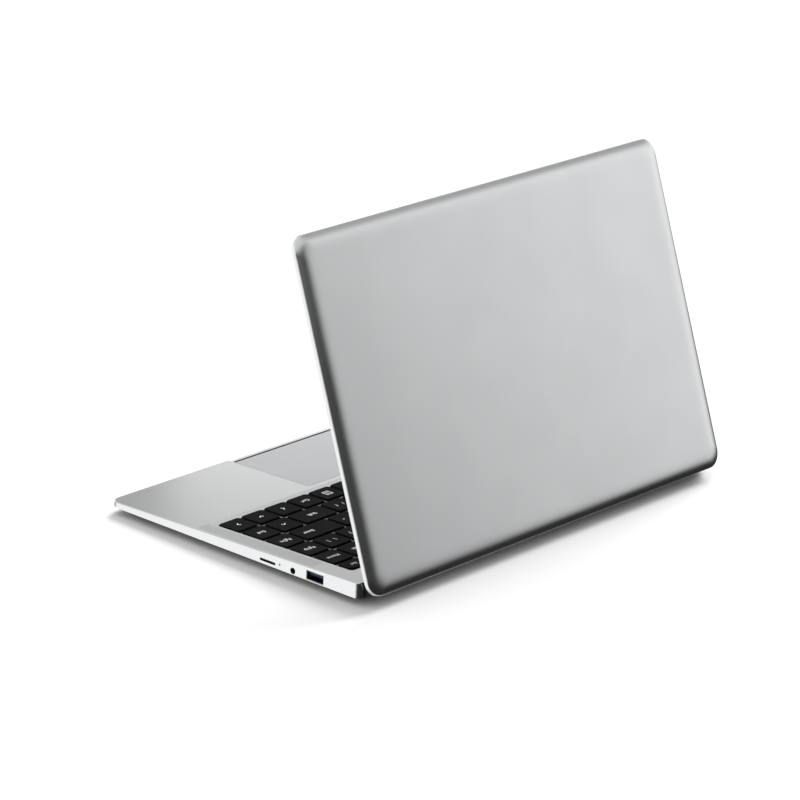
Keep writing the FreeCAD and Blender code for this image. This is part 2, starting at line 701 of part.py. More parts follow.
def key_nodes():
    """The keycaps, gathered in one compound per row group or key that stands alone."""
    nodes = {}
    for group, name, x0, x1, y0, y1 in key_spans():
        cap = cut_plate(x0, x1, y0, y1, KEY_BOTTOM, KEY_TOP, KEY_CORNER_CUT)
        nodes.setdefault(name or group, []).append(on_deck(cap))
    return {name: Part.makeCompound(caps) for name, caps in nodes.items()}


def keyboard_frame():
    """The web that the keys stand in: a thin plate with one opening per key and a rim below."""
    web = keyboard_opening(FIT, MEMBRANE_TOP, -RECESS_DEPTH)
    below = keyboard_opening(FIT + WEB_RIM, MEMBRANE_TOP, -RECESS_DEPTH - WEB_THICK)
    holes = []
    for _, _, x0, x1, y0, y1 in key_spans():
        grow = KEY_CLEARANCE
        holes.append(block(x0 - grow, x1 + grow, y0 - grow, y1 + grow, MEMBRANE_TOP, 0))
    return on_deck(web.cut([below] + holes))


def keyboard_membrane():
    """The switch sheet under the keys."""
    return on_deck(keyboard_sheet(-FIT, BACKPLATE_TOP, MEMBRANE_TOP))


def keyboard_backplate():
    """The steel plate that closes the keyboard from below, against the opening's rim."""
    return on_deck(keyboard_sheet(OPENING_RIM, BACKPLATE_TOP - BACKPLATE_THICK, BACKPLATE_TOP))


def touchpad_plate():
    """The glass-topped touchpad that clicks down at its front."""
    return on_deck(pad_opening(0, PAD_TOP - PAD_THICK, PAD_TOP))


def touchpad_bracket():
    """The shallow steel pan under the touchpad, with two supports below the pad's rear edge."""
    pan = pad_box(PAD_BRACKET_GROW, -PAD_BRACKET_DROP, -DECK_PLATE)
    pan = pan.cut(pad_box(PAD_BRACKET_GROW - PAD_BRACKET_THICK, BRACKET_TOP, 0))
    pad_bottom = PAD_TOP - PAD_THICK
    reach = PAD_WIDTH / 4
    supports = [
        block(side * reach - PAD_CORNER, side * reach + PAD_CORNER, PAD_REAR - PAD_CORNER, PAD_REAR,
              BRACKET_TOP, pad_bottom - FIT)
        for side in (-1, 1)
    ]
    return on_deck(pan.fuse(supports))


def touchpad_switch():
    """The click switch on the pan, under the pad's front edge."""
    y0 = PAD_FRONT + SWITCH_DEPTH
    body = block(-SWITCH_WIDTH / 2, SWITCH_WIDTH / 2, y0, y0 + SWITCH_DEPTH, BRACKET_TOP,
                 BRACKET_TOP + SWITCH_HEIGHT / 2)
    button = post(0, y0 + SWITCH_DEPTH / 2, BRACKET_TOP, BRACKET_TOP + SWITCH_HEIGHT, SWITCH_DEPTH / 4)
    return on_deck(body.fuse(button))


def board_cutout(along, width):
    """The notch in a board's right edge for a socket that sits in its thickness."""
    y, _ = socket_place(along, 0)
    half = width / 2 + ROOM
    return block(SIDE_X - SOCKET_DEPTH - ROOM, SIDE_X, y - half, y + half, 0, FAR)


def motherboard():
    """The main board, with a tab for the power jack and a notch for the left USB socket."""
    y0 = FRONT_Y + MAIN_BOARD_FRONT
    board = block(-BOARD_EDGE_X, MAIN_BOARD_RIGHT, y0, FRONT_Y + MAIN_BOARD_REAR, BOARD_HEIGHT, BOARD_TOP)
    jack_y = left_socket_y(POWER_ALONG)
    tab_x = -SIDE_X + SOCKET_DEPTH
    tab = block(-BOARD_EDGE_X, tab_x, y0, jack_y + POWER_BODY / 2, BOARD_HEIGHT, BOARD_TOP)
    notch = mirrored(board_cutout(USB_ALONG, USB_WIDTH + 2 * SHELL))
    return board.fuse(tab).cut(notch).removeSplitter()


def io_board():
    """The small board behind the right wall's sockets, notched round the deep ones."""
    board = block(
        SIDE_BOARD_LEFT, BOARD_EDGE_X, FRONT_Y + SIDE_BOARD_FRONT, FRONT_Y + SIDE_BOARD_REAR, BOARD_HEIGHT, BOARD_TOP
    )
    notches = [board_cutout(USB_ALONG, USB_WIDTH + 2 * SHELL), board_cutout(JACK_ALONG, JACK_BODY)]
    return board.cut(notches)


def board_tabs(y, half, x0):
    """Two tabs beside a socket that stand on the board's top."""
    x1 = BOARD_EDGE_X - BOARD_MARGIN
    reach = half + ROOM + TAB
    return [
        block(x0, x1, y - reach, y - half, BOARD_TOP, BOARD_TOP + TAB_THICK),
        block(x0, x1, y + half, y + reach, BOARD_TOP, BOARD_TOP + TAB_THICK),
    ]


def usb_shell():
    """The right USB socket's folded metal shell, open at the wall."""
    y, z = socket_place(USB_ALONG, USB_DROP)
    half_width = USB_WIDTH / 2 + SHELL
    half_height = USB_HEIGHT / 2 + SHELL
    x0 = SIDE_X - SOCKET_DEPTH
    x1 = SIDE_X - FIT
    shell = block(x0, x1, y - half_width, y + half_width, z - half_height, z + half_height)
    inner = block(
        x0 + SHELL, x1 + SHELL, y - USB_WIDTH / 2, y + USB_WIDTH / 2, z - USB_HEIGHT / 2, z + USB_HEIGHT / 2
    )
    return shell.fuse(board_tabs(y, half_width, x0)).cut(inner)


def usb_tongue():
    """The plastic contact tongue in the right USB socket, with its block at the back."""
    y, z = socket_place(USB_ALONG, USB_DROP)
    half = USB_WIDTH / 2 - TONGUE_INSET
    x0 = SIDE_X - SOCKET_DEPTH + SHELL
    top = z + USB_HEIGHT / 2 - TONGUE_INSET
    back = block(x0, x0 + TONGUE_THICK, y - half, y + half, z - USB_HEIGHT / 2, z + USB_HEIGHT / 2)
    tongue = block(x0, SIDE_X - TONGUE_THICK, y - half, y + half, top - TONGUE_THICK, top)
    return back.fuse(tongue).removeSplitter()


def headphone_jack():
    """The headphone socket's body behind its hole in the wall."""
    y, z = socket_place(JACK_ALONG, JACK_DROP)
    x0 = SIDE_X - SOCKET_DEPTH
    x1 = INNER_X - FIT
    half = JACK_BODY / 2
    body = block(x0, x1, y - half, y + half, z - half, z + half).fuse(board_tabs(y, half, x0))
    return body.cut(rod_x(x0 + SHELL, x1 + FIT, y, z, JACK_RADIUS))


def card_slot():
    """The memory card's cage on the small board, open at the wall."""
    y, z = socket_place(CARD_ALONG, CARD_DROP)
    x0 = SIDE_X - CARD_DEPTH
    x1 = INNER_X - FIT
    half = CARD_WIDTH / 2
    cage = block(x0, x1, y - half - SHELL, y + half + SHELL, BOARD_TOP, z + CARD_SLOT / 2 + SHELL)
    return cage.cut(block(x0 + SHELL, x1 + FIT, y - half, y + half, z - CARD_SLOT / 2, z + CARD_SLOT / 2))


def status_light():
    """The light guide in the right wall."""
    y, z = socket_place(LIGHT_ALONG, LIGHT_DROP)
    return bar_x(SIDE_X - LIGHT_LENGTH, SIDE_X - FIT, y, z, LIGHT_RADIUS)


def hdmi_port():
    """The small display socket in the left wall, with its tongue."""
    y = left_socket_y(HDMI_ALONG)
    half = HDMI_WIDTH / 2
    x0 = -SIDE_X + FIT
    x1 = -SIDE_X + SOCKET_DEPTH
    top = BOARD_TOP + HDMI_HEIGHT + 2 * SHELL
    shell = block(x0, x1, y - half - SHELL, y + half + SHELL, BOARD_TOP, top)
    inner = block(x0 - SHELL, x1 - TONGUE_THICK, y - half, y + half, BOARD_TOP + SHELL, top - SHELL)
    middle = (BOARD_TOP + top) / 2
    tongue = block(
        x0 + TONGUE_THICK, x1 - TONGUE_THICK, y - half + TONGUE_INSET * 2, y + half - TONGUE_INSET * 2,
        middle - SHELL, middle + SHELL
    )
    return shell.cut(inner).fuse(tongue).removeSplitter()


def power_jack():
    """The round power socket in the left wall, with its centre pin."""
    y = left_socket_y(POWER_ALONG)
    z = BOARD_TOP + POWER_HEIGHT / 2
    x0 = -INNER_X + FIT
    x1 = -SIDE_X + SOCKET_DEPTH
    half = POWER_BODY / 2
    body = block(x0, x1, y - half, y + half, BOARD_TOP, BOARD_TOP + POWER_HEIGHT)
    body = body.cut(rod_x(x0 - FIT, x1 - WALL, y, z, POWER_RADIUS))
    return body.fuse(bar_x(x0 + WALL, x1 - FIT, y, z, POWER_PIN_RADIUS)).removeSplitter()


def processor():
    """The processor: a carrier with its die on top, in the middle of the main board."""
    y = FRONT_Y + (MAIN_BOARD_FRONT + MAIN_BOARD_REAR) / 2
    half = CHIP_SIZE / 2
    carrier = block(-half, half, y - half, y + half, BOARD_TOP, BOARD_TOP + CHIP_HEIGHT / 2)
    die = block(-half / 2, half / 2, y - half / 2, y + half / 2, BOARD_TOP, BOARD_TOP + CHIP_HEIGHT)
    return carrier.fuse(die)


def heat_spreader():
    """The metal plate that carries the processor's heat away without a fan."""
    y = FRONT_Y + (MAIN_BOARD_FRONT + MAIN_BOARD_REAR) / 2
    z = BOARD_TOP + CHIP_HEIGHT
    half = SPREADER_WIDTH / 2
    depth = SPREADER_DEPTH / 2
    return block(-half, half, y - depth, y + depth, z, z + SPREADER_THICK)


def module_card(x, y, length):
    """A plug-in card that lies over the main board on its connector."""
    connector = block(x, x + MODULE_THICK * 4, y, y + MODULE_WIDTH, BOARD_TOP, BOARD_TOP + MODULE_THICK)
    card = block(x, x + length, y, y + MODULE_WIDTH, BOARD_TOP + MODULE_THICK, BOARD_TOP + 2 * MODULE_THICK)
    return connector.fuse(card).removeSplitter()


def storage_module():
    """The storage card, to the right of the heat spreader."""
    y = FRONT_Y + (MAIN_BOARD_FRONT + MAIN_BOARD_REAR - MODULE_WIDTH) / 2
    return module_card(SPREADER_WIDTH / 2 + MODULE_THICK, y, STORAGE_LENGTH)


def wireless_module():
    """The radio card, to the left of the heat spreader."""
    y = FRONT_Y + (MAIN_BOARD_FRONT + MAIN_BOARD_REAR - MODULE_WIDTH) / 2
    x = -SPREADER_WIDTH / 2 - MODULE_THICK - WIRELESS_LENGTH
    return module_card(x, y, WIRELESS_LENGTH)


def io_ribbon():
    """The flat cable from the main board to the small board."""
    y = FRONT_Y + SIDE_BOARD_FRONT + 2 * RIBBON_WIDTH
    x0 = MAIN_BOARD_RIGHT - RIBBON_LAP
    x1 = SIDE_BOARD_LEFT + RIBBON_LAP
    return block(x0, x1, y, y + RIBBON_WIDTH, BOARD_TOP, BOARD_TOP + RIBBON_THICK)


def battery_cells():
    """Two pouch cells beside the touchpad and a thinner one under the keyboard's front rows."""
    side_x = PAD_WIDTH / 2 + PAD_BRACKET_GROW + ROOM
    side = block(
        side_x, SIDE_CELL_END_X, FRONT_Y + SIDE_CELL_FRONT, FRONT_Y + SIDE_CELL_REAR, FLOOR_Z,
        FLOOR_Z + SIDE_CELL_HEIGHT
    )
    half = MIDDLE_CELL_WIDTH / 2
    y = FRONT_Y + MIDDLE_CELL_FRONT
    middle = block(-half, half, y, y + MIDDLE_CELL_DEPTH, FLOOR_Z, FLOOR_Z + MIDDLE_CELL_HEIGHT)
    return Part.makeCompound(both_sides([side]) + [middle])


def speaker():
    """The right speaker's box under the deck, with the sunk mouth of its long cone upwards."""
    x0 = RECESS_HALF + OPENING_RIM + ROOM
    x1 = INNER_X - ROOM
    y1 = SPEAKER_ALONG + SPEAKER_LENGTH
    top = -DECK_PLATE
    box = block(x0, x1, SPEAKER_ALONG, y1, top - SPEAKER_HEIGHT, top)
    rim = 2 * ROOM
    dish = block(x0 + rim, x1 - rim, SPEAKER_ALONG + rim, y1 - rim, top - SPEAKER_DISH, top + SPEAKER_DISH)
    return on_deck(box.cut(dish))


def hinge_bracket():
    """The right hinge's steel bracket: a bearing round the pin and a leaf screwed under the deck."""
    bearing = rod_x(BEARING_START_X, BEARING_END_X, HINGE_ALONG, -HINGE_DROP, BEARING_RADIUS)
    neck = block(
        BEARING_START_X, BEARING_END_X, LEAF_REAR - ROOM, HINGE_ALONG, LEAF_TOP - BRACKET_LEAF, LEAF_TOP
    )
    middle = (BEARING_START_X + BEARING_END_X) / 2
    leaf = block(
        middle - BRACKET_WIDTH / 2, middle + BRACKET_WIDTH / 2, LEAF_FRONT, LEAF_REAR, LEAF_TOP - BRACKET_LEAF,
        LEAF_TOP
    )
    holes = [
        post(x, along, LEAF_TOP - FAR, LEAF_TOP + FIT, SCREW_HOLE) for x, along in bracket_screw_places()
    ]
    bore = rod_x(
        BEARING_START_X - FIT, BEARING_END_X + FIT, HINGE_ALONG, -HINGE_DROP, PIN_RADIUS + PIN_CLEARANCE
    )
    return on_deck(bearing.fuse([neck, leaf]).cut(holes + [bore]).removeSplitter())


def bracket_screws():
    """The screws that hold both hinge brackets to the deck's bosses."""
    screws = []
    for x, along in bracket_screw_places():
        bottom = LEAF_TOP - BRACKET_LEAF
        head = post(x, along, bottom - SCREW_HEAD_HEIGHT, bottom, SCREW_HEAD_RADIUS)
        shank = post(x, along, bottom - SCREW_HEAD_HEIGHT, -DECK_PLATE - FIT, SCREW_RADIUS)
        screws.append(on_deck(head.fuse(shank).removeSplitter()))
    return Part.makeCompound(both_sides(screws))


def hinge_pin():
    """The right hinge's pin, held in the lid's arm and turning in the base's bearing."""
    return on_lid(rod_x(BEARING_START_X, HINGE_X + ARM_LENGTH / 2, HINGE_ALONG, -HINGE_DROP, PIN_RADIUS))


def hinge_arm():
    """The right hinge's lid arm: a sleeve on the pin, a neck and a leaf screwed inside the lid."""
    x0 = HINGE_X - ARM_LENGTH / 2
    x1 = HINGE_X + ARM_LENGTH / 2
    sleeve = bar_x(x0, x1, HINGE_ALONG, -HINGE_DROP, BEARING_RADIUS)
    neck = block(x0, x1, HINGE_ALONG - ARM_NECK / 2, HINGE_ALONG + ARM_NECK / 2, -HINGE_DROP, ARM_LEAF_TOP)
    leaf = block(x0, x1, ARM_LEAF_FRONT, HINGE_ALONG, ARM_LEAF_TOP - ARM_LEAF, ARM_LEAF_TOP)
    holes = [
        post(x, along, ARM_LEAF_TOP - 2 * ARM_LEAF, ARM_LEAF_TOP + FIT, SCREW_HOLE)
        for x, along in arm_screw_places()
    ]
    bore = rod_x(x0 - FIT, x1 + FIT, HINGE_ALONG, -HINGE_DROP, PIN_RADIUS)
    return on_lid(sleeve.fuse([neck, leaf]).cut(holes + [bore]).removeSplitter())


def hinge_cover():
    """The right hinge's plastic barrel on the lid, flat where it meets the bezel."""
    barrel = rod_x(COVER_START_X, COVER_END_X, HINGE_ALONG, -HINGE_DROP, HINGE_COVER_RADIUS)
    barrel = barrel.cut(block(-FAR, FAR, -FAR, FAR, LID_GAP, FAR))
    inside = bar_x(
        COVER_START_X - FIT, HINGE_X + ARM_LENGTH / 2 + FIT, HINGE_ALONG, -HINGE_DROP, BEARING_RADIUS + PIN_CLEARANCE
    )
    half = ARM_NECK / 2 + FIT
    slot = block(
        COVER_START_X - FIT, HINGE_X + ARM_LENGTH / 2 + FIT, HINGE_ALONG - half, HINGE_ALONG + half, -HINGE_DROP,
        LID_TOP
    )
    return on_lid(barrel.cut([inside, slot]))


def arm_screws():
    """The screws that hold both hinge arms to the lid's bosses."""
    screws = []
    for x, along in arm_screw_places():
        bottom = ARM_LEAF_TOP - ARM_LEAF
        head = post(x, along, bottom - TAB_THICK + FIT, bottom, SCREW_HEAD_RADIUS)
        shank = post(x, along, bottom - TAB_THICK + FIT, LID_TOP - LID_SKIN - FIT, SCREW_RADIUS)
        screws.append(on_lid(head.fuse(shank).removeSplitter()))
    return Part.makeCompound(both_sides(screws))


def lid_form():
    """The lid's outer form: an upright rim below a back that curves down towards its edges.

    The back's rise at a distance t from the edge follows a circle whose chord is the crown's width and height.
    """
    radius = (CROWN_WIDTH**2 + LID_CROWN**2) / (2 * LID_CROWN)
    rim_top = LID_GAP + LID_RIM
    wires = []
    for step in range(CROWN_STEPS + 1):
        share = step / CROWN_STEPS
        edge = CROWN_WIDTH * share
        rise = math.sqrt(radius**2 - (CROWN_WIDTH - edge) ** 2) - (radius - LID_CROWN)
        corner = LID_CORNER + (CROWN_CORNER - LID_CORNER) * share
        wires.append(
            rounded_wire(-SIDE_X + edge, SIDE_X - edge, LID_FRONT + edge, LID_REAR - edge, rim_top + rise, corner)
        )
    crown = Part.makeLoft(wires, True, False)
    rim = plate(-SIDE_X, SIDE_X, LID_FRONT, LID_REAR, LID_GAP, rim_top, LID_CORNER)
    return rim.fuse(crown).removeSplitter()


def lid_hollow():
    """The lid's inside: an upright space within the rim and a flat-sided one under the crown."""
    rim_top = LID_GAP + LID_RIM - LID_SKIN
    outlines = []
    for inset, z in ((LID_WALL, rim_top), (LID_WALL + CROWN_WIDTH, LID_TOP - LID_SKIN)):
        outlines.append(
            cut_wire(-SIDE_X + inset, SIDE_X - inset, LID_FRONT + inset, LID_REAR - inset, z, LID_CORNER - CROWN_CORNER)
        )
    upper = Part.makeLoft(outlines, True, True)
    lower = plate(
        -SIDE_X + LID_WALL, SIDE_X - LID_WALL, LID_FRONT + LID_WALL, LID_REAR - LID_WALL, LID_GAP - FIT, rim_top,
        LID_CORNER - LID_WALL
    )
    return [lower, upper]


def lid_cover():
    """The lid's metal shell with bosses for the hinge arms."""
    shell = lid_form().cut(lid_hollow())
    bosses = []
    pilots = []
    for x, along in arm_screw_places():
        bosses.append(post(x, along, ARM_LEAF_TOP, LID_TOP - LID_SKIN / 2, POST_RADIUS))
        pilots.append(post(x, along, ARM_LEAF_TOP - FIT, LID_TOP - LID_SKIN, SCREW_HOLE))
    return on_lid(shell.fuse(both_sides(bosses)).cut(both_sides(pilots)).removeSplitter())


def display_bezel():
    """The dark frame round the screen, with slots for the hinge arms and the camera's hole."""
    margin = LID_WALL + FIT
    frame = plate(
        -SIDE_X + margin, SIDE_X - margin, LID_FRONT + margin, LID_REAR - margin, LID_GAP, BEZEL_BACK,
        LID_CORNER - margin
    )
    half = SCREEN_HALF
    window = block(-half, half, SCREEN_TOP, SCREEN_BOTTOM, 0, LID_TOP)
    neck = ARM_NECK / 2 + FIT
    slot = block(
        HINGE_X - ARM_LENGTH / 2 - FIT, HINGE_X + ARM_LENGTH / 2 + FIT, HINGE_ALONG - neck, HINGE_ALONG + neck, 0,
        LID_TOP
    )
    eye = rod_z(0, LID_FRONT + TOP_BORDER / 2, 0, LID_TOP, CAMERA_RADIUS + PIN_CLEARANCE)
    return on_lid(frame.cut([window, eye] + both_sides([slot])))


def lcd_glass():
    """The screen's glass, against the bezel's back."""
    half = SCREEN_HALF + GLASS_SIDE_BORDER
    return on_lid(
        block(-half, half, SCREEN_TOP - GLASS_BORDER, GLASS_BOTTOM, BEZEL_BACK, BEZEL_BACK + GLASS_THICK)
    )


def backlight_unit():
    """The light panel behind the glass."""
    half = SCREEN_HALF + GLASS_SIDE_BORDER - BACKLIGHT_INSET
    z0 = BEZEL_BACK + GLASS_THICK
    front = SCREEN_TOP - GLASS_BORDER + BACKLIGHT_INSET
    return on_lid(block(-half, half, front, GLASS_BOTTOM, z0, z0 + BACKLIGHT_THICK))


def driver_board():
    """The screen's driver board in the lid's lower border."""
    half = DRIVER_BOARD_WIDTH / 2
    y0 = GLASS_BOTTOM + ROOM
    return on_lid(block(-half, half, y0, y0 + DRIVER_BOARD_DEPTH, BEZEL_BACK, BEZEL_BACK + GLASS_THICK))


def camera_board():
    """The camera's board above the screen, with its lens barrel."""
    half = CAMERA_BOARD_WIDTH / 2
    y = LID_FRONT + TOP_BORDER / 2
    rear = SCREEN_TOP - GLASS_BORDER - FIT
    z = BEZEL_BACK + GLASS_THICK
    board = block(-half, half, rear - CAMERA_BOARD_DEPTH, rear, z, z + GLASS_THICK)
    barrel = rod_z(0, y, BEZEL_BACK, z + GLASS_THICK / 2, CAMERA_RADIUS + ROOM)
    return on_lid(board.fuse(barrel))


def camera_lens():
    """The camera's round window in the bezel."""
    y = LID_FRONT + TOP_BORDER / 2
    return on_lid(rod_z(0, y, LID_GAP + FIT, BEZEL_BACK, CAMERA_RADIUS))


def lid_bumpers():
    """Small rubber pads on the bezel that meet the deck when the lid is shut."""
    x0 = SIDE_X - LID_WALL - LID_CORNER - BUMPER_LENGTH
    pads = []
    for y in (LID_FRONT + LID_WALL + ROOM, SCREEN_BOTTOM + BUMPER_DEPTH):
        pad = block(x0, x0 + BUMPER_LENGTH, y, y + BUMPER_DEPTH, LID_GAP - BUMPER_HEIGHT, LID_GAP)
        pads.append(on_lid(pad))
    return Part.makeCompound(both_sides(pads))


def all_nodes():
    """Every piece of the laptop by its name."""
    nodes = {
        "palm_rest_deck": palm_rest_deck(),
        "bottom_cover": bottom_cover(),
        "bottom_screws": bottom_screws(),
        "rubber_feet": rubber_feet(),
        "rear_cover": rear_cover(),
        "keyboard_frame": keyboard_frame(),
        "keyboard_membrane": keyboard_membrane(),
        "keyboard_backplate": keyboard_backplate(),
        "touchpad_plate": touchpad_plate(),
        "touchpad_bracket": touchpad_bracket(),
        "touchpad_switch": touchpad_switch(),
        "motherboard": motherboard(),
        "io_board": io_board(),
        "io_ribbon": io_ribbon(),
        "processor": processor(),
        "heat_spreader": heat_spreader(),
        "storage_module": storage_module(),
        "wireless_module": wireless_module(),
        "battery_cells": battery_cells(),
        "speaker_right": speaker(),
        "speaker_left": mirrored(speaker()),
        "usb_shell_right": usb_shell(),
        "usb_shell_left": mirrored(usb_shell()),
        "usb_tongue_right": usb_tongue(),
        "usb_tongue_left": mirrored(usb_tongue()),
        "headphone_jack": headphone_jack(),
        "card_slot": card_slot(),
        "status_light": status_light(),
        "hdmi_port": hdmi_port(),
        "power_jack": power_jack(),
        "hinge_bracket_right": hinge_bracket(),
        "hinge_bracket_left": mirrored(hinge_bracket()),
        "bracket_screws": bracket_screws(),
        "hinge_pin_right": hinge_pin(),
        "hinge_pin_left": mirrored(hinge_pin()),
        "hinge_arm_right": hinge_arm(),
        "hinge_arm_left": mirrored(hinge_arm()),
        "hinge_cover_right": hinge_cover(),
        "hinge_cover_left": mirrored(hinge_cover()),
        "arm_screws": arm_screws(),
        "lid_cover": lid_cover(),
        "display_bezel": display_bezel(),
        "lcd_glass": lcd_glass(),
        "backlight_unit": backlight_unit(),
        "driver_board": driver_board(),
        "camera_board": camera_board(),
        "camera_lens": camera_lens(),
        "lid_bumpers": lid_bumpers(),
    }
    nodes.update(key_nodes())
    return nodes


os.makedirs("parts", exist_ok=True)
for node_name, node_shape in all_nodes().items():
    node_shape.exportStep(os.path.join("parts", node_name + ".step"))
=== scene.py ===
"""Looks of a slim wedge-shaped laptop computer with its lid partly open, seen from behind its right side.

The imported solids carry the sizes. This script dresses them, and stands smooth-edged pieces in for the lid's
shell and the keycaps. Lengths in the classes are in millimetres, and each class turns them to metres in the
table's frame.
"""
import logging
import math
from dataclasses import dataclass
from enum import Enum
from typing import Sequence

import bpy
import numpy as np
from mathutils import Matrix, Vector


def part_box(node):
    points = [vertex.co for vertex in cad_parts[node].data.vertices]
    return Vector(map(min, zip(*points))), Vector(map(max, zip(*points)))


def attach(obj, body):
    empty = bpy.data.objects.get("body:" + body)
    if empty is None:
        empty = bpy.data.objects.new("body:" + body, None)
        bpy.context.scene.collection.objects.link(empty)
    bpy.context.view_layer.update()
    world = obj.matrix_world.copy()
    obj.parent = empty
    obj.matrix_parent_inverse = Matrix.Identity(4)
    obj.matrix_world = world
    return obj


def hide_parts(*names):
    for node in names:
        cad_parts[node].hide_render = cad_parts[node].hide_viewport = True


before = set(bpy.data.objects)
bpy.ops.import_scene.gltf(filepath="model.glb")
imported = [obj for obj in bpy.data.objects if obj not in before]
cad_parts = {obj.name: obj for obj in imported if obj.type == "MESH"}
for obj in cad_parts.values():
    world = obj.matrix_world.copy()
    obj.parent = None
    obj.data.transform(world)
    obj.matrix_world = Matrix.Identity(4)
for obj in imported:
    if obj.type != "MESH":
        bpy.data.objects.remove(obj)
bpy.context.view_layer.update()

MM = 0.001
LOG = logging.getLogger("laptop")

# Broad patches of gloss, about 36 mm across
CLOUD_SCALE = 28.0
# The part of a noise's range that colours and gloss are spread over
NOISE_LOW, NOISE_HIGH = 0.3, 0.7

# A flat or ringed shape as its points and its faces, and a key as (node, legend, left, right, front, rear)
Shape = tuple[np.ndarray, list[list[int]]]
Span = tuple[str, str, float, float, float, float]
# A smooth step as (start, end, level below, level above); the dome's steps follow the sine of the height
Band = tuple[float, float, float, float]
# A lobe of the dome as (direction, inner angle, outer angle, level)
Lobe = tuple[tuple[float, float, float], float, float, float]


def linear(code: str) -> tuple[float, float, float, float]:
    """Turn an sRGB hex colour to linear.

    Args:
        code: six hex digits after a hash sign.

    Returns:
        Linear red, green and blue, and an alpha of one.
    """
    values = [int(code[place : place + 2], 16) / 255 for place in (1, 3, 5)]
    parts = [v / 12.92 if v <= 0.04045 else ((v + 0.055) / 1.055) ** 2.4 for v in values]
    return parts[0], parts[1], parts[2], 1.0


def add_node(tree: bpy.types.NodeTree, kind: str, inputs: dict | None = None, **settings) -> bpy.types.Node:
    """Add a node to a tree with its settings, values and links.

    Args:
        tree: the node tree that takes it.
        kind: the node's type name.
        inputs: socket name or number to a value, or to an output socket to link from.
        settings: the node's own properties.

    Returns:
        The new node.
    """
    node = tree.nodes.new(kind)
    for key, value in settings.items():
        setattr(node, key, value)
    for socket, value in (inputs or {}).items():
        if isinstance(value, bpy.types.NodeSocket):
            tree.links.new(value, node.inputs[socket])
        else:
            node.inputs[socket].default_value = value
    return node


class Surface(Enum):
    """The finishes that the laptop's pieces take."""

    ANODISED_ALUMINIUM = "anodised_aluminium_blasted"
    SHADED_WEB_ALUMINIUM = "anodised_aluminium_web_painted_shade"
    TOUCHPAD = "touchpad_satin_film"
    KEY_ABS = "key_abs_moulded"
    LEGEND_INK = "legend_ink_printed"
    BLACK_PLASTIC = "black_polycarbonate_moulded"
    BOTTOM_PLASTIC = "bottom_polycarbonate_textured"
    RUBBER = "rubber_moulded"
    NICKEL = "nickel_plated_steel"
    STEEL = "spring_steel_rolled"
    BLUE_PLASTIC = "blue_nylon_moulded"
    SOCKET_PLASTIC = "socket_nylon_moulded"
    SCREEN = "screen_polariser"
    LENS = "lens_glass_polished"
    LIGHT = "light_guide_acrylic"
    SMOKE = "smoked_acrylic_moulded"
    HOLE = "speaker_hole_shade"
    BOARD = "fibreglass_board_masked"
    COPPER = "copper_rolled"
    FOIL = "cell_foil_laminated"


@dataclass(frozen=True)
class Finish:
    """One surface: two colours that a fine grain mixes, its gloss, and the grain's size and depth.

    The grain is a noise whose scale is one over its real size. The bump's distance is the grain's depth.
    """

    dark: str
    light: str
    roughness: tuple[float, float]
    grain_mm: float
    depth_mm: float
    metallic: float = 0.0
    ior: float = 1.5
    coat: float = 0.0
    sheen: float = 0.5
    stretch: tuple[float, float, float] = (1.0, 1.0, 1.0)
    bump: float = 0.5

    def make(self, surface: Surface) -> bpy.types.Material:
        """Build the material.

        Args:
            surface: the finish's name.

        Returns:
            A material with its grain on Object coordinates.
        """
        material = bpy.data.materials.new(surface.value)
        material.use_nodes = True
        tree = material.node_tree
        shader = tree.nodes["Principled BSDF"]
        place = add_node(tree, "ShaderNodeTexCoord")
        turned = add_node(
            tree, "ShaderNodeMapping", {"Vector": place.outputs["Object"], "Scale": self.stretch}
        ).outputs["Vector"]
        grain = add_node(
            tree, "ShaderNodeTexNoise", {"Vector": turned, "Scale": 1 / (self.grain_mm * MM), "Detail": 3.0}
        )
        cloud = add_node(
            tree, "ShaderNodeTexNoise", {"Vector": turned, "Scale": CLOUD_SCALE, "Detail": 2.0}
        )
        ramp = add_node(tree, "ShaderNodeValToRGB", {"Fac": grain.outputs["Fac"]})
        stops = ((NOISE_LOW, self.dark), (NOISE_HIGH, self.light))
        for element, (position, colour) in zip(ramp.color_ramp.elements, stops):
            element.position = position
            element.color = linear(colour)
        gloss = add_node(
            tree,
            "ShaderNodeMapRange",
            {
                "Value": cloud.outputs["Fac"],
                "From Min": NOISE_LOW,
                "From Max": NOISE_HIGH,
                "To Min": self.roughness[0],
                "To Max": self.roughness[1],
            },
        )
        bump = add_node(
            tree,
            "ShaderNodeBump",
            {"Height": grain.outputs["Fac"], "Distance": self.depth_mm * MM, "Strength": self.bump},
        )
        tree.links.new(ramp.outputs["Color"], shader.inputs["Base Color"])
        tree.links.new(gloss.outputs["Result"], shader.inputs["Roughness"])
        tree.links.new(bump.outputs["Normal"], shader.inputs["Normal"])
        shader.inputs["Metallic"].default_value = self.metallic
        if not self.metallic:
            shader.inputs["IOR"].default_value = self.ior
            shader.inputs["Specular IOR Level"].default_value = self.sheen
        shader.inputs["Coat Weight"].default_value = self.coat
        return material


Materials = dict[Surface, bpy.types.Material]


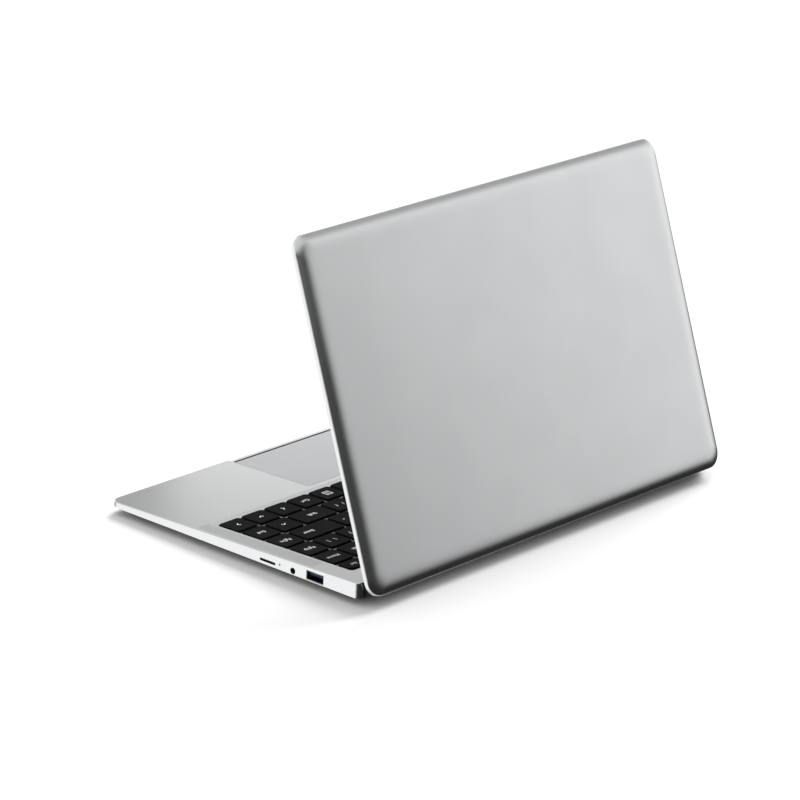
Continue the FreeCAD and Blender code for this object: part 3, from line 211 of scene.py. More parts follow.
# What each finish gives the eye. Grains finer than about 0.3 mm are drawn at that size, so that they show.
FINISHES: dict[Surface, Finish] = {
    # Blasted and anodised sheet: soft grey mirror with a very fine sparkle
    Surface.ANODISED_ALUMINIUM: Finish("#E0E1E2", "#E6E7E8", (0.235, 0.255), 0.35, 0.003, metallic=1.0),
    # The same sheet between the keys, made darker: the keys' shade painted into its colour
    Surface.SHADED_WEB_ALUMINIUM: Finish("#D8D9DA", "#E0E1E2", (0.30, 0.34), 0.35, 0.003, metallic=1.0),
    # Satin film over glass, a little smoother than the deck
    Surface.TOUCHPAD: Finish("#C4C5C7", "#CACBCD", (0.24, 0.26), 0.3, 0.002, metallic=0.9),
    # Moulded key plastic: near black, soft sheen, fine spark-eroded texture
    Surface.KEY_ABS: Finish("#0B0C0D", "#101112", (0.68, 0.78), 0.3, 0.010, ior=1.46, sheen=0.09),
    # Pad-printed white ink: flat and slightly warm
    Surface.LEGEND_INK: Finish("#E4E5E6", "#EEEFF0", (0.55, 0.65), 0.3, 0.002),
    # Moulded black trim: darker and a little glossier than the keys
    Surface.BLACK_PLASTIC: Finish("#0C0D0E", "#111213", (0.55, 0.65), 0.3, 0.008, ior=1.52, sheen=0.25),
    # Textured underside: dark grey with a coarse leathery grain
    Surface.BOTTOM_PLASTIC: Finish("#1E1F21", "#27282A", (0.52, 0.64), 0.6, 0.03, ior=1.52),
    # Moulded rubber: dull and a little rough. The strips of painted shade in the touchpad's gap take it too
    Surface.RUBBER: Finish("#131313", "#1B1B1C", (0.75, 0.88), 0.5, 0.02),
    # Plated socket shells: bright, slightly rolled
    Surface.NICKEL: Finish("#A9A7A3", "#B8B6B2", (0.2, 0.3), 0.3, 0.003, metallic=1.0, stretch=(0.1, 1, 1)),
    # Rolled spring steel: grey, with its rolling lines along X
    Surface.STEEL: Finish("#8B8B8D", "#9B9B9D", (0.28, 0.4), 0.3, 0.004, metallic=1.0, stretch=(0.1, 1, 1)),
    # Moulded nylon: the blue of a fast USB socket's tongue, darkened beyond its own blue to paint the shade
    # inside the socket, and the black of the other sockets
    Surface.BLUE_PLASTIC: Finish("#0D2A4C", "#12365F", (0.45, 0.55), 0.3, 0.004, sheen=0.3),
    Surface.SOCKET_PLASTIC: Finish("#0E0E0F", "#141415", (0.45, 0.55), 0.3, 0.006),
    # Anti-glare film on the dark screen
    Surface.SCREEN: Finish("#050607", "#08090A", (0.12, 0.17), 0.3, 0.001, coat=0.4),
    # Polished glass over the dark camera
    Surface.LENS: Finish("#07080C", "#0A0B12", (0.04, 0.06), 0.3, 0.0005, coat=0.8),
    # Clear moulded acrylic, and the white film of the flat cable
    Surface.LIGHT: Finish("#E6E8EA", "#F2F3F4", (0.2, 0.26), 0.3, 0.001),
    # Smoked lens over the status light, unlit
    Surface.SMOKE: Finish("#55565A", "#606165", (0.2, 0.26), 0.3, 0.001),
    # The shade inside the speakers' holes
    Surface.HOLE: Finish("#38393B", "#414244", (0.6, 0.7), 0.3, 0.002),
    # Solder mask over glass cloth: green with the weave just showing
    Surface.BOARD: Finish("#0C3A22", "#14502F", (0.3, 0.42), 0.6, 0.01, stretch=(1, 3, 1)),
    # Rolled copper: warm, with long rolling lines
    Surface.COPPER: Finish(
        "#9A5B3C", "#B46F4B", (0.26, 0.36), 0.4, 0.003, metallic=1.0, stretch=(0.2, 1, 1)
    ),
    # Laminated pouch foil: dark, slightly wrinkled
    Surface.FOIL: Finish("#4A4B4E", "#5B5C60", (0.35, 0.5), 1.2, 0.02, metallic=0.6),
}

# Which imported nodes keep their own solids, and the finish that each takes.
NODE_SURFACES: dict[Surface, tuple[str, ...]] = {
    Surface.ANODISED_ALUMINIUM: ("palm_rest_deck",),
    # The web between the keys takes the deck's sheet with painted shade
    Surface.SHADED_WEB_ALUMINIUM: ("keyboard_frame",),
    Surface.TOUCHPAD: ("touchpad_plate",),
    Surface.BLACK_PLASTIC: ("rear_cover", "hinge_cover_right", "hinge_cover_left", "display_bezel"),
    Surface.BOTTOM_PLASTIC: ("bottom_cover",),
    Surface.RUBBER: ("rubber_feet", "lid_bumpers"),
    Surface.NICKEL: ("usb_shell_right", "usb_shell_left", "hdmi_port"),
    Surface.STEEL: (
        "bottom_screws", "bracket_screws", "arm_screws", "hinge_bracket_right", "hinge_bracket_left",
        "hinge_arm_right", "hinge_arm_left", "hinge_pin_right", "hinge_pin_left", "keyboard_backplate",
        "touchpad_bracket",
    ),
    Surface.BLUE_PLASTIC: ("usb_tongue_right", "usb_tongue_left"),
    Surface.SOCKET_PLASTIC: (
        "headphone_jack", "power_jack", "card_slot", "touchpad_switch", "speaker_right", "speaker_left",
        "keyboard_membrane", "processor",
    ),
    Surface.SCREEN: ("lcd_glass",),
    Surface.LENS: ("camera_lens",),
    Surface.LIGHT: ("backlight_unit", "io_ribbon"),
    Surface.SMOKE: ("status_light",),
    Surface.BOARD: (
        "motherboard", "io_board", "driver_board", "camera_board", "storage_module", "wireless_module",
    ),
    Surface.COPPER: ("heat_spreader",),
    Surface.FOIL: ("battery_cells",),
}


def rounded_outline(
    left: np.ndarray, right: np.ndarray, front: np.ndarray, rear: np.ndarray, radii: np.ndarray, steps: int
) -> np.ndarray:
    """Outlines of rectangles with rounded corners, counter-clockwise from above.

    Each corner is a quarter circle: its centre lies one radius inside both sides, and its points are the
    centre plus the radius times the cosine and sine of angles that run through a quarter turn.

    Args:
        left, right, front, rear: the sides, as arrays of any one shape.
        radii: the corners' radii from the front right one round, of that shape plus (4,), or plus (1,)
            where all are equal.
        steps: points per corner.

    Returns:
        An array of that shape plus (4 * steps, 2).
    """
    turns = np.linspace(0, math.pi / 2, steps)
    angle = np.concatenate([turns + start for start in (-math.pi / 2, 0, math.pi / 2, math.pi)])
    east = np.repeat([1.0, 1.0, 0.0, 0.0], steps)
    north = np.repeat([0.0, 1.0, 1.0, 0.0], steps)
    left, right, front, rear = (np.asarray(v, float)[..., None] for v in (left, right, front, rear))
    radius = np.repeat(np.broadcast_to(radii, left.shape[:-1] + (4,)), steps, axis=-1)
    x = east * (right - radius) + (1 - east) * (left + radius) + radius * np.cos(angle)
    y = north * (rear - radius) + (1 - north) * (front + radius) + radius * np.sin(angle)
    return np.stack([x, y], axis=-1)


def lift_rings(outline: np.ndarray, level: np.ndarray) -> np.ndarray:
    """Give each ring of an outline its own height.

    Args:
        outline: points (x, y) of shape (..., rings, points, 2).
        level: the rings' heights.

    Returns:
        Points (x, y, height), one row each.
    """
    height = np.broadcast_to(level[:, None, None], outline.shape[:-1] + (1,))
    return np.concatenate([outline, height], axis=-1).reshape(-1, 3)


def ring_faces(rings: int, points: int, closed: bool = False) -> np.ndarray:
    """Quads between each ring of points and the next, closed round the ring.

    Args:
        rings: how many rings.
        points: points per ring.
        closed: whether the last ring joins the first.

    Returns:
        An array of shape (quads, 4).
    """
    ring, point = np.meshgrid(np.arange(rings if closed else rings - 1), np.arange(points), indexing="ij")
    after = (point + 1) % points
    beyond = (ring + 1) % rings
    here, there = ring * points, beyond * points
    return np.stack([here + point, here + after, there + after, there + point], axis=-1).reshape(-1, 4)


def new_piece(
    name: str,
    points: np.ndarray,
    faces: Sequence[Sequence[int]],
    material: bpy.types.Material,
    sharp_deg: float = 30.0,
) -> bpy.types.Object:
    """Put points and faces into a mesh object at the origin.

    Args:
        name: the piece's name.
        points: places in metres, in the table's frame.
        faces: corner numbers of each face, outwards.
        material: the piece's finish.
        sharp_deg: edges that turn more than this stay sharp.

    Returns:
        The object, linked to the scene.
    """
    mesh = bpy.data.meshes.new(name)
    mesh.from_pydata(points.tolist(), [], faces)
    mesh.polygons.foreach_set("use_smooth", np.ones(len(mesh.polygons), bool))
    mesh.set_sharp_from_angle(angle=math.radians(sharp_deg))
    mesh.materials.append(material)
    mesh.update()
    piece = bpy.data.objects.new(name, mesh)
    bpy.context.scene.collection.objects.link(piece)
    return piece


@dataclass
class Deck:
    """The sloping deck: its plane, the speakers' holes, the keyboard's recess and painted shade in the
    touchpad's gap.
    """

    front_height: float = 7.9
    rise: float = 6.0
    depth: float = 196.0
    hole_pitch: float = 1.8
    hole_radius: float = 0.4
    hole_sides: int = 8
    strip_x: tuple[float, float] = (150.2, 158.6)
    strip_along: tuple[float, float] = (70.0, 160.0)
    film: float = 0.02
    recess_half: float = 148.14
    recess_along: tuple[float, float] = (70.3, 179.2)
    recess_corner: float = 2.5
    recess_depth: float = 1.1
    recess_slope: float = 0.95
    recess_front_slope: float = 3.0
    recess_lap: float = 0.12
    recess_proud: float = 0.006
    recess_root: float = 0.1
    recess_steps: int = 6
    pad_half: float = 60.6
    # Two dark strips of painted shade in the touchpad's gap: their spans along the deck, the pad's sink and
    # their depth
    gap_shade_along: tuple[float, float] = (4.6, 5.15)
    pad_shade_along: tuple[float, float] = (5.2, 6.0)
    pad_sunk: float = 0.1
    shade_depth: float = 0.2

    @property
    def tilt(self) -> float:
        """The deck's slope in radians."""
        return math.atan2(self.rise, self.depth)

    @property
    def front_y(self) -> float:
        """The deck's front edge on the table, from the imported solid."""
        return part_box("palm_rest_deck")[0].y / MM

    def place(self, points: np.ndarray) -> np.ndarray:
        """Lay points (x, along, above) on the slope.

        They are turned by the tilt about X and lifted to the front edge.

        Args:
            points: places in the deck's plane, in millimetres.

        Returns:
            Places in the table's frame, in metres.
        """
        x, along, above = np.moveaxis(points, -1, 0)
        y = self.front_y + along * math.cos(self.tilt) - above * math.sin(self.tilt)
        z = self.front_height + along * math.sin(self.tilt) + above * math.cos(self.tilt)
        return np.stack([x, y, z], axis=-1) * MM

    def build_holes(self, materials: Materials) -> None:
        """Lay the speakers' holes as small dark discs of painted shade, one every pitch.

        Every other row is shifted by half a pitch. The other side's holes are the mirror image.

        Args:
            materials: the finishes.
        """
        column = np.arange(self.strip_x[0], self.strip_x[1], self.hole_pitch)
        row = np.arange(self.strip_along[0], self.strip_along[1], self.hole_pitch)
        x, along = np.meshgrid(column, row)
        x = x + (np.arange(len(row)) % 2)[:, None] * self.hole_pitch / 2
        centre = np.stack([x.ravel(), along.ravel()], axis=-1)
        centre = np.concatenate([centre, centre * [-1, 1]])
        turn = np.arange(self.hole_sides) * 2 * math.pi / self.hole_sides
        ring = self.hole_radius * np.stack([np.cos(turn), np.sin(turn)], axis=-1)
        flat = (centre[:, None, :] + ring).reshape(-1, 2)
        points = np.column_stack([flat, np.full(len(flat), self.film)])
        faces = np.arange(len(flat)).reshape(-1, self.hole_sides).tolist()
        holes = new_piece("speaker_holes", self.place(points), faces, materials[Surface.HOLE])
        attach(holes, "base")
        LOG.info("speaker holes: %d", len(faces))

    def build_recess(self, materials: Materials) -> None:
        """Line the keyboard's recess with a sloping edge: a ring of triangular section round its outline.

        Args:
            materials: the finishes.
        """
        inset = np.array([-self.recess_lap, self.recess_slope, -self.recess_lap])
        front = np.array([-self.recess_lap, self.recess_front_slope, -self.recess_lap])
        bottom = -self.recess_depth
        level = np.array([self.recess_proud, bottom + self.film, bottom - self.recess_root])
        outline = rounded_outline(
            inset - self.recess_half,
            self.recess_half - inset,
            self.recess_along[0] + front,
            self.recess_along[1] - inset,
            (self.recess_corner - inset)[:, None],
            self.recess_steps,
        )
        points = self.place(lift_rings(outline, level))
        faces = ring_faces(*outline.shape[:2], closed=True).tolist()
        edge = new_piece("recess_edge", points, faces, materials[Surface.ANODISED_ALUMINIUM])
        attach(edge, "base")
        LOG.info("recess edge: %d faces", len(faces))

    def build_gap_shade(self, materials: Materials) -> None:
        """Paint shade into the gap before the touchpad as two dark strips, one on the deck by the gap and one
        along the pad's front edge.

        Each is a box of eight corners.

        Args:
            materials: the finishes.
        """
        for name, body, span, low in (
            ("pad_gap_painted_shade", "base", self.gap_shade_along, 0.0),
            ("pad_edge_painted_shade", "touchpad", self.pad_shade_along, -self.pad_sunk),
        ):
            levels = [low - self.shade_depth, low + self.film]
            x, along, above = np.meshgrid([-self.pad_half, self.pad_half], span, levels, indexing="ij")
            points = np.stack([x.ravel(), along.ravel(), above.ravel()], axis=-1)
            faces = [[0, 1, 3, 2], [4, 6, 7, 5], [0, 4, 5, 1], [2, 3, 7, 6], [0, 2, 6, 4], [1, 5, 7, 3]]
            # The strips take the dark rubber finish as painted shade
            strip = new_piece(name, self.place(points), faces, materials[Surface.RUBBER])
            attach(strip, body)
            LOG.info("%s: %d faces", name, len(faces))


@dataclass
class Lid:
    """The lid's metal shell: an upright rim, a small rounding and a back that falls off to its edges."""

    deck: Deck
    half_width: float = 160.75
    front: float = -0.8
    rear: float = 204.1
    gap: float = 0.5
    rim: float = 3.0
    crown: float = 1.40
    shoulder: float = 2.27
    edge_tilt_deg: float = 26.0
    crown_width: float = 18.0
    crown_power: float = 6.0
    corner: float = 10.0
    crown_corner: float = 3.0
    wall: float = 1.2
    skin: float = 0.7
    edge_cut: float = 0.15
    open_deg: float = 72.0
    hinge_along: float = 197.5
    hinge_drop: float = 2.4
    crown_steps: int = 20
    crown_crowding: float = 1.6
    round_steps: int = 8
    corner_steps: int = 13
    sharp_deg: float = 35.0

    def place(self, points: np.ndarray) -> np.ndarray:
        """Turn points of the shut lid open about the hinge axis and lay them on the deck's slope.

        Args:
            points: (x, along, above) with the lid shut, in millimetres.

        Returns:
            Places in the table's frame, in metres.
        """
        x, along, above = np.moveaxis(points, -1, 0)
        turn = -math.radians(self.open_deg)
        back, up = along - self.hinge_along, above + self.hinge_drop
        turned = [
            x,
            self.hinge_along + back * math.cos(turn) - up * math.sin(turn),
            -self.hinge_drop + back * math.sin(turn) + up * math.cos(turn),
        ]
        return self.deck.place(np.stack(turned, axis=-1))

    def profile(self) -> np.ndarray:
        """The shell's section from the inside's ceiling, round the lip and up to the flat of the back.

        A rounding turns from upright to the edge's tilt. From there the back rises to the flat as one minus
        a power of the share of the way still to go, with the same tilt at its start. The two heights add up
        to the shoulder, which gives the rounding's radius. The steps crowd towards the edge, where the back
        is steepest.

        Returns:
            Rows of (inset from the outline, height, corner radius).
        """
        top = self.gap + self.rim
        flat = top + self.crown
        tilt = math.radians(self.edge_tilt_deg)
        slope = math.tan(tilt) / self.crown_power
        reach = math.cos(tilt) - slope * (1 - math.sin(tilt))
        radius = (self.shoulder - slope * self.crown_width) / reach
        turn = np.linspace(0, math.pi / 2 - tilt, self.round_steps)
        arc_in = radius * (1 - np.cos(turn))
        arc_up = flat - self.shoulder + radius * np.sin(turn)
        share = np.linspace(0, 1, self.crown_steps)[1:] ** self.crown_crowding
        edge = arc_in[-1] + (self.crown_width - arc_in[-1]) * share
        rise = flat - (flat - arc_up[-1]) * (1 - share) ** self.crown_power
        inset = np.concatenate([arc_in, edge])
        height = np.concatenate([arc_up, rise])
        corner = self.corner + (self.crown_corner - self.corner) * inset / self.crown_width
        outer = np.column_stack([inset, height, corner])
        inner = np.array(
            [
                [self.wall + self.crown_width, flat - self.skin, self.crown_corner],
                [self.wall, top - self.skin, self.corner - self.wall],
                [self.wall, self.gap, self.corner - self.wall],
                [self.edge_cut, self.gap, self.corner - self.edge_cut],
                [0.0, self.gap + self.edge_cut, self.corner],
            ]
        )
        return np.concatenate([inner, outer])

    def build(self, materials: Materials) -> None:
        """Carry the section round the rounded outline and close it with a flat inside and a flat back.

        Args:
            materials: the finishes.
        """
        inset, height, corner = self.profile().T
        outline = rounded_outline(
            inset - self.half_width,
            self.half_width - inset,
            self.front + inset,
            self.rear - inset,
            corner[:, None],
            self.corner_steps,
        )
        rings, count = outline.shape[:2]
        points = self.place(lift_rings(outline, height))
        faces = ring_faces(rings, count).tolist()
        faces.append(list(range((rings - 1) * count, rings * count)))
        faces.append(list(range(count))[::-1])
        shell = new_piece("lid_shell", points, faces, materials[Surface.ANODISED_ALUMINIUM], self.sharp_deg)
        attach(shell, "lid")
        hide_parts("lid_cover")
        LOG.info("lid shell: %d rings of %d points", rings, count)


@dataclass
class Keyboard:
    """Rounded keycaps with a shallow dish, and the legends printed on them."""

    deck: Deck
    pitch: float = 19.05
    row_pitch: float = 18.5
    space: float = 2.2
    front: float = 73.9
    function_depth: float = 10.6
    units: float = 15.5
    height: float = 1.6
    proud: float = 0.1
    corner: float = 1.6
    end_corner: float = 4.6
    corner_share: float = 0.4
    least_corner: float = 0.3
    dish: float = 0.12
    # Each ring of a cap: its inset, and its drop below the top for those between the foot and the dish
    cap_inset: tuple[float, ...] = (0.05, 0.05, 0.10, 0.28, 0.55, 2.6)
    cap_drop: tuple[float, ...] = (0.5, 0.16, 0.02, 0.0)
    corner_steps: int = 5
    sharp_deg: float = 40.0
    letter_size: float = 5.0
    pair_size: float = 4.2
    word_size: float = 3.8
    small_size: float = 3.0
    sign_size: float = 3.8
    stroke: float = 0.55
    boldness: float = 0.006
    menu_size: float = 5.2
    pair_shift: float = 2.7
    end_margin: float = 9.0
    ink: float = 0.02

    # Each row from the front: runs of (units, node, legends). A dot stands for a key left bare, and two
    # signs on one key stand either side of a bar.
    rows: tuple[tuple[tuple[float, str, str], ...], ...] = (
        (
            (1, "modifier_keys", "Ctrl Fn . Alt"), (5.5, "space_bar", "."),
            (1, "modifier_keys", "Alt <menu> Ctrl <left> <down> <right>"),
        ),
        (
            (2, "left_shift_key", "Shift"), (1, "lower_letter_keys", "Z X C V B N M ,¦< .¦> /¦?"),
            (1.5, "right_shift_key", "Shift"), (1, "lower_letter_keys", "<up> End"),
        ),
        (
            (1.75, "home_letter_keys", "Caps"), (1, "home_letter_keys", "A S D F G H J K L ;¦: '¦\""),
            (1.75, "enter_key", "Enter"), (1, "home_letter_keys", "PgDn"),
        ),
        (
            (1.5, "upper_letter_keys", "Tab"),
            (1, "upper_letter_keys", "Q W E R T Y U I O P [¦{ ]¦} \\¦| PgUp"),
        ),
        (
            (1, "number_keys", "`¦~ 1¦! 2¦@ 3¦# 4¦$ 5¦% 6¦^ 7¦& 8¦* 9¦( 0¦) -¦_ =¦+"),
            (1.5, "backspace_key", "Back"), (1, "number_keys", "Home"),
        ),
        ((0.96875, "function_keys", "Esc F1 F2 F3 F4 F5 F6 F7 F8 F9 F10 F11 F12 PrtSc Ins Del"),),
    )

    def spans(self) -> list[Span]:
        """Lay the keys out unit by unit from each row's left end.

        Returns:
            Every key as (node, legend, left, right, front, rear).
        """
        keys = []
        for row, runs in enumerate(self.rows):
            left = -self.units * self.pitch / 2
            front = self.front + row * self.row_pitch
            depth = self.function_depth if row == len(self.rows) - 1 else self.row_pitch - self.space
            for units, node, legends in runs:
                for legend in legends.split():
                    right = left + units * self.pitch
                    half = self.space / 2
                    keys.append((node, legend, left + half, right - half, front, front + depth))
                    left = right
        return keys

    def radii(self, boxes: np.ndarray) -> np.ndarray:
        """Each key's corner radii: small ones, and wide ones at the keyboard's two rear corners.

        Args:
            boxes: rows of (left, right, front, rear).

        Returns:
            Rows of the four radii from the front right corner round.
        """
        outer = self.units * self.pitch / 2 - self.space
        last = boxes[:, 2] > self.front + (len(self.rows) - 1.5) * self.row_pitch
        radii = np.full((len(boxes), 4), self.corner)
        radii[last & (boxes[:, 1] > outer), 1] = self.end_corner
        radii[last & (boxes[:, 0] < -outer), 2] = self.end_corner
        return radii

    def caps(self, boxes: np.ndarray) -> Shape:
        """Keycaps as rings: an upright side, a rounding at the top edge and a dish sunk in the middle.

        Args:
            boxes: rows of (left, right, front, rear).

        Returns:
            Points in the deck's plane and the faces.
        """
        inset = np.array(self.cap_inset)
        level = self.proud - np.array([self.height, *self.cap_drop, self.dish])
        left, right, front, rear = (boxes[:, [side]] for side in range(4))
        radii = self.radii(boxes)[:, None, :] - inset[:, None] * self.corner_share
        outline = rounded_outline(
            left + inset,
            right - inset,
            front + inset,
            rear - inset,
            np.maximum(radii, self.least_corner),
            self.corner_steps,
        )
        keys, rings, count = outline.shape[:3]
        sides = ring_faces(rings, count)
        start = np.arange(keys) * rings * count
        faces = (start[:, None, None] + sides).reshape(-1, 4).tolist()
        top = start[:, None] + (rings - 1) * count + np.arange(count)
        under = start[:, None] + np.arange(count)[::-1]
        return lift_rings(outline, level), faces + top.tolist() + under.tolist()

    def letters(self, word: str, size: float) -> Shape:
        """One word as flat filled letters about the origin.

        Args:
            word: the word.
            size: the letters' size.

        Returns:
            Points (x, y) in millimetres and the faces.
        """
        curve = bpy.data.curves.new("legend", "FONT")
        curve.body = word
        curve.size = size
        curve.resolution_u = 2
        curve.offset = size * self.boldness
        holder = bpy.data.objects.new("legend", curve)
        bpy.context.scene.collection.objects.link(holder)
        graph = bpy.context.evaluated_depsgraph_get()
        mesh = bpy.data.meshes.new_from_object(holder.evaluated_get(graph))
        flat = np.empty(len(mesh.vertices) * 3, np.float32)
        mesh.vertices.foreach_get("co", flat)
        points = flat.reshape(-1, 3)[:, :2].astype(float)
        faces = [list(face.vertices) for face in mesh.polygons]
        bpy.data.objects.remove(holder)
        bpy.data.curves.remove(curve)
        bpy.data.meshes.remove(mesh)
        return points - (points.min(axis=0) + points.max(axis=0)) / 2, faces

    def sign(self, name: str) -> Shape:
        """A drawn sign about the origin: an arrow head of two bars, or a framed list for the menu key.

        An arrow head is drawn pointing right and turned by quarter turns. The menu sign is made of bars
        given by their left, right, front and rear sides.

        Args:
            name: right, up, left, down or menu.

        Returns:
            Points (x, y) in millimetres and the faces.
        """
        if name == "menu":
            half, inside, line = self.menu_size / 2, self.menu_size / 2 - self.stroke, self.stroke * 0.8
            bars = np.array(
                [
                    [-half, half, inside, half],
                    [-half, half, -half, -inside],
                    [-half, -inside, -inside, inside],
                    [inside, half, -inside, inside],
                    [-half / 2, half / 2, half / 4, half / 4 + line],
                    [-half / 2, half / 2, -half / 4 - line, -half / 4],
                ]
            )
            points = bars[:, [0, 2, 1, 2, 1, 3, 0, 3]].reshape(-1, 2)
            return points, np.arange(len(points)).reshape(-1, 4).tolist()
        half, reach, wide = self.sign_size / 2, self.sign_size / 4, self.stroke * 1.5
        head = np.array(
            [
                [-reach, half], [-reach, half - wide], [reach - wide, 0],
                [-reach, wide - half], [-reach, -half], [reach, 0],
            ]
        )
        turn = ("right", "up", "left", "down").index(name) * math.pi / 2
        spin = np.array([[math.cos(turn), math.sin(turn)], [-math.sin(turn), math.cos(turn)]])
        return head @ spin, [[0, 1, 2, 5], [2, 3, 4, 5]]

    def legend(self, text: str, low: bool) -> list[Shape]:
        """The flat shapes of one key's legend, about the key's middle.

        Args:
            text: the legend as the rows give it.
            low: whether the key is a shallow one.

        Returns:
            Shapes as (points, faces).
        """
        if len(text) > 2 and text[0] == "<":
            return [self.sign(text[1:-1])]
        if "¦" in text:
            shapes = [self.letters(one, self.pair_size) for one in text.split("¦")]
            shifts = (-self.pair_shift, self.pair_shift)
            return [(points + [shift, 0], faces) for (points, faces), shift in zip(shapes, shifts)]
        size = self.small_size if low else self.letter_size if len(text) == 1 else self.word_size
        return [self.letters(text, size)]

    def build(self, materials: Materials) -> None:
        """Make one mesh of caps and one of legends for each key node, each riding on its own body.

        Args:
            materials: the finishes.
        """
        keys = self.spans()
        for node in dict.fromkeys(key[0] for key in keys):
            own = [key for key in keys if key[0] == node]
            points, faces = self.caps(np.array([key[2:] for key in own]))
            points = self.deck.place(points)
            caps = new_piece(f"caps_{node}", points, faces, materials[Surface.KEY_ABS], self.sharp_deg)
            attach(caps, node)
            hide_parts(node)
            self.print_legends(node, own, materials)
            LOG.info("%s: %d caps", node, len(own))

    def print_legends(self, node: str, own: list[Span], materials: Materials) -> None:
        """Lay each key's legend on the middle of its cap, a film of ink above the dish.

        The enter and backspace keys carry theirs near the right end.

        Args:
            node: the key node.
            own: its keys, as spans gives them.
            materials: the finishes.
        """
        points, faces, first = [], [], 0
        above = self.proud - self.dish + self.ink
        for _, text, left, right, front, rear in own:
            if text == ".":
                continue
            x = right - self.end_margin if text in ("Enter", "Back") else (left + right) / 2
            low = rear - front < self.row_pitch / 2 + self.space
            for flat, polygons in self.legend(text, low):
                flat = flat + [x, (front + rear) / 2]
                points.append(np.column_stack([flat, np.full(len(flat), above)]))
                faces.extend([[corner + first for corner in face] for face in polygons])
                first += len(flat)
        if not points:
            return
        points = self.deck.place(np.concatenate(points))
        ink = new_piece(f"legends_{node}", points, faces, materials[Surface.LEGEND_INK])
        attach(ink, node)
        LOG.info("%s: %d faces of ink", node, len(faces))


@dataclass
class Studio:
    """The white floor, the soft light round it, and the camera at the photograph's place.

    The camera's place and turn were fitted in the deck's plane and are laid on its slope here.
    """

    deck: Deck
    camera_mm: tuple[float, float, float] = (1653.6, 1513.9, 763.9)
    azimuth_deg: float = 130.861
    elevation_deg: float = 18.237
    roll_deg: float = 1.311
    focal_px: float = 3854.2
    frame_px: float = 800.0
    sensor_mm: float = 36.0
    clip_m: tuple[float, float] = (0.05, 50.0)
    floor_m: float = 6.0
    floor_colour: str = "#F7F7F7"
    floor_roughness: float = 0.9
    # The deck's middle, the sides of the panel across and up from it, and the panel's distance
    panel_middle: float = 105.0
    panel_across: tuple[float, float] = (-500.0, 195.0)
    panel_up: tuple[float, float] = (0.0, 238.0)
    panel_away: float = 600.0
    panel_power: float = 0.29
    lamp_deg: tuple[float, float] = (194.5, 37.5)
    lamp_spread_deg: float = 35.0
    lamp_strength: float = 3.1
    # Steps of the dome's level with height: from one sine to another, the level added below and above
    bands: tuple[Band, ...] = (
        (-0.80, -0.50, 0.6, 0.0),
        (-0.14, 0.06, 0.02, 1.10),
        (0.30, 0.60, 0.0, -0.5),
        (0.75, 0.92, 0.0, 0.2),
    )
    # A dark card behind the lid, as a lobe, and the band of sky that stays above it
    flag: Lobe = ((0.284, 0.956, -0.071), 55.6, 69.0, 0.02)
    sky: Band = (0.32, 0.46, 0.0, 0.75)
    # Lobes of the dome: direction, the angles between which each fades, and its level
    lobes: tuple[Lobe, ...] = (
        ((-0.75, 0.25, 0.62), 8.0, 30.0, 0.42),
        ((-0.72, -0.63, 0.28), 16.0, 27.0, 0.44),
        ((0.72, -0.62, -0.33), 25.0, 55.0, 1.19),
        ((0.795, 0.557, 0.242), 12.0, 22.0, 0.85),
    )

    def build_camera(self) -> None:
        """Make the camera from its place, viewing direction and roll, with the fitted focal length."""
        az, el, roll = (math.radians(v) for v in (self.azimuth_deg, self.elevation_deg, self.roll_deg))
        back = Vector((math.sin(az) * math.cos(el), -math.cos(az) * math.cos(el), math.sin(el)))
        right = (-back).cross(Vector((0, 0, 1))).normalized()
        up = right.cross(-back)
        turned = right * math.cos(roll) + up * math.sin(roll)
        raised = up * math.cos(roll) - right * math.sin(roll)
        slope = Matrix.Rotation(self.deck.tilt, 3, "X")
        axes = Matrix((slope @ turned, slope @ raised, slope @ back)).transposed().to_4x4()
        place = self.deck.place(np.array(self.camera_mm))
        data = bpy.data.cameras.new("camera")
        data.sensor_width = self.sensor_mm
        data.lens = self.focal_px * self.sensor_mm / self.frame_px
        data.clip_start, data.clip_end = self.clip_m
        camera = bpy.data.objects.new("camera", data)
        camera.matrix_world = Matrix.Translation(Vector(place)) @ axes
        bpy.context.scene.collection.objects.link(camera)
        bpy.context.scene.camera = camera

    def build_floor(self) -> None:
        """Lay a flat white floor as the stage."""
        half = self.floor_m
        points = np.array([[-half, -half, 0], [half, -half, 0], [half, half, 0], [-half, half, 0]], float)
        material = bpy.data.materials.new("floor_paper")
        material.use_nodes = True
        shader = material.node_tree.nodes["Principled BSDF"]
        shader.inputs["Base Color"].default_value = linear(self.floor_colour)
        shader.inputs["Roughness"].default_value = self.floor_roughness
        floor = new_piece("floor", points, [[0, 1, 2, 3]], material)
        floor.visible_glossy = False
        LOG.info("floor: %.1f m across", 2 * half)

    def build_light(self) -> None:
        """Light the stage from a dome, a panel before the deck and a soft lamp on the left.

        The dome's level is the sum of the bands, darkened by the card, kept above the sky's band and then
        brought to each lobe's own level.
        """
        scene = bpy.context.scene
        scene.view_settings.view_transform = "Standard"
        world = bpy.data.worlds.new("dome")
        world.use_nodes = True
        scene.world = world
        tree = world.node_tree
        ray = add_node(tree, "ShaderNodeTexCoord").outputs["Generated"]
        sine = add_node(tree, "ShaderNodeSeparateXYZ", {"Vector": ray}).outputs["Z"]
        level = 0.0
        for band in self.bands:
            step = self.add_step(tree, sine, band)
            level = add_node(tree, "ShaderNodeMath", {0: level, 1: step}, operation="ADD").outputs[0]
        level = self.add_lobe(tree, ray, level, self.flag)
        sky = self.add_step(tree, sine, self.sky)
        level = add_node(tree, "ShaderNodeMath", {0: level, 1: sky}, operation="MAXIMUM").outputs[0]
        for lobe in self.lobes:
            level = self.add_lobe(tree, ray, level, lobe)
        tree.links.new(level, tree.nodes["Background"].inputs["Color"])
        tree.nodes["Background"].inputs["Strength"].default_value = 1.0
        self.add_panel()
        self.add_lamp()

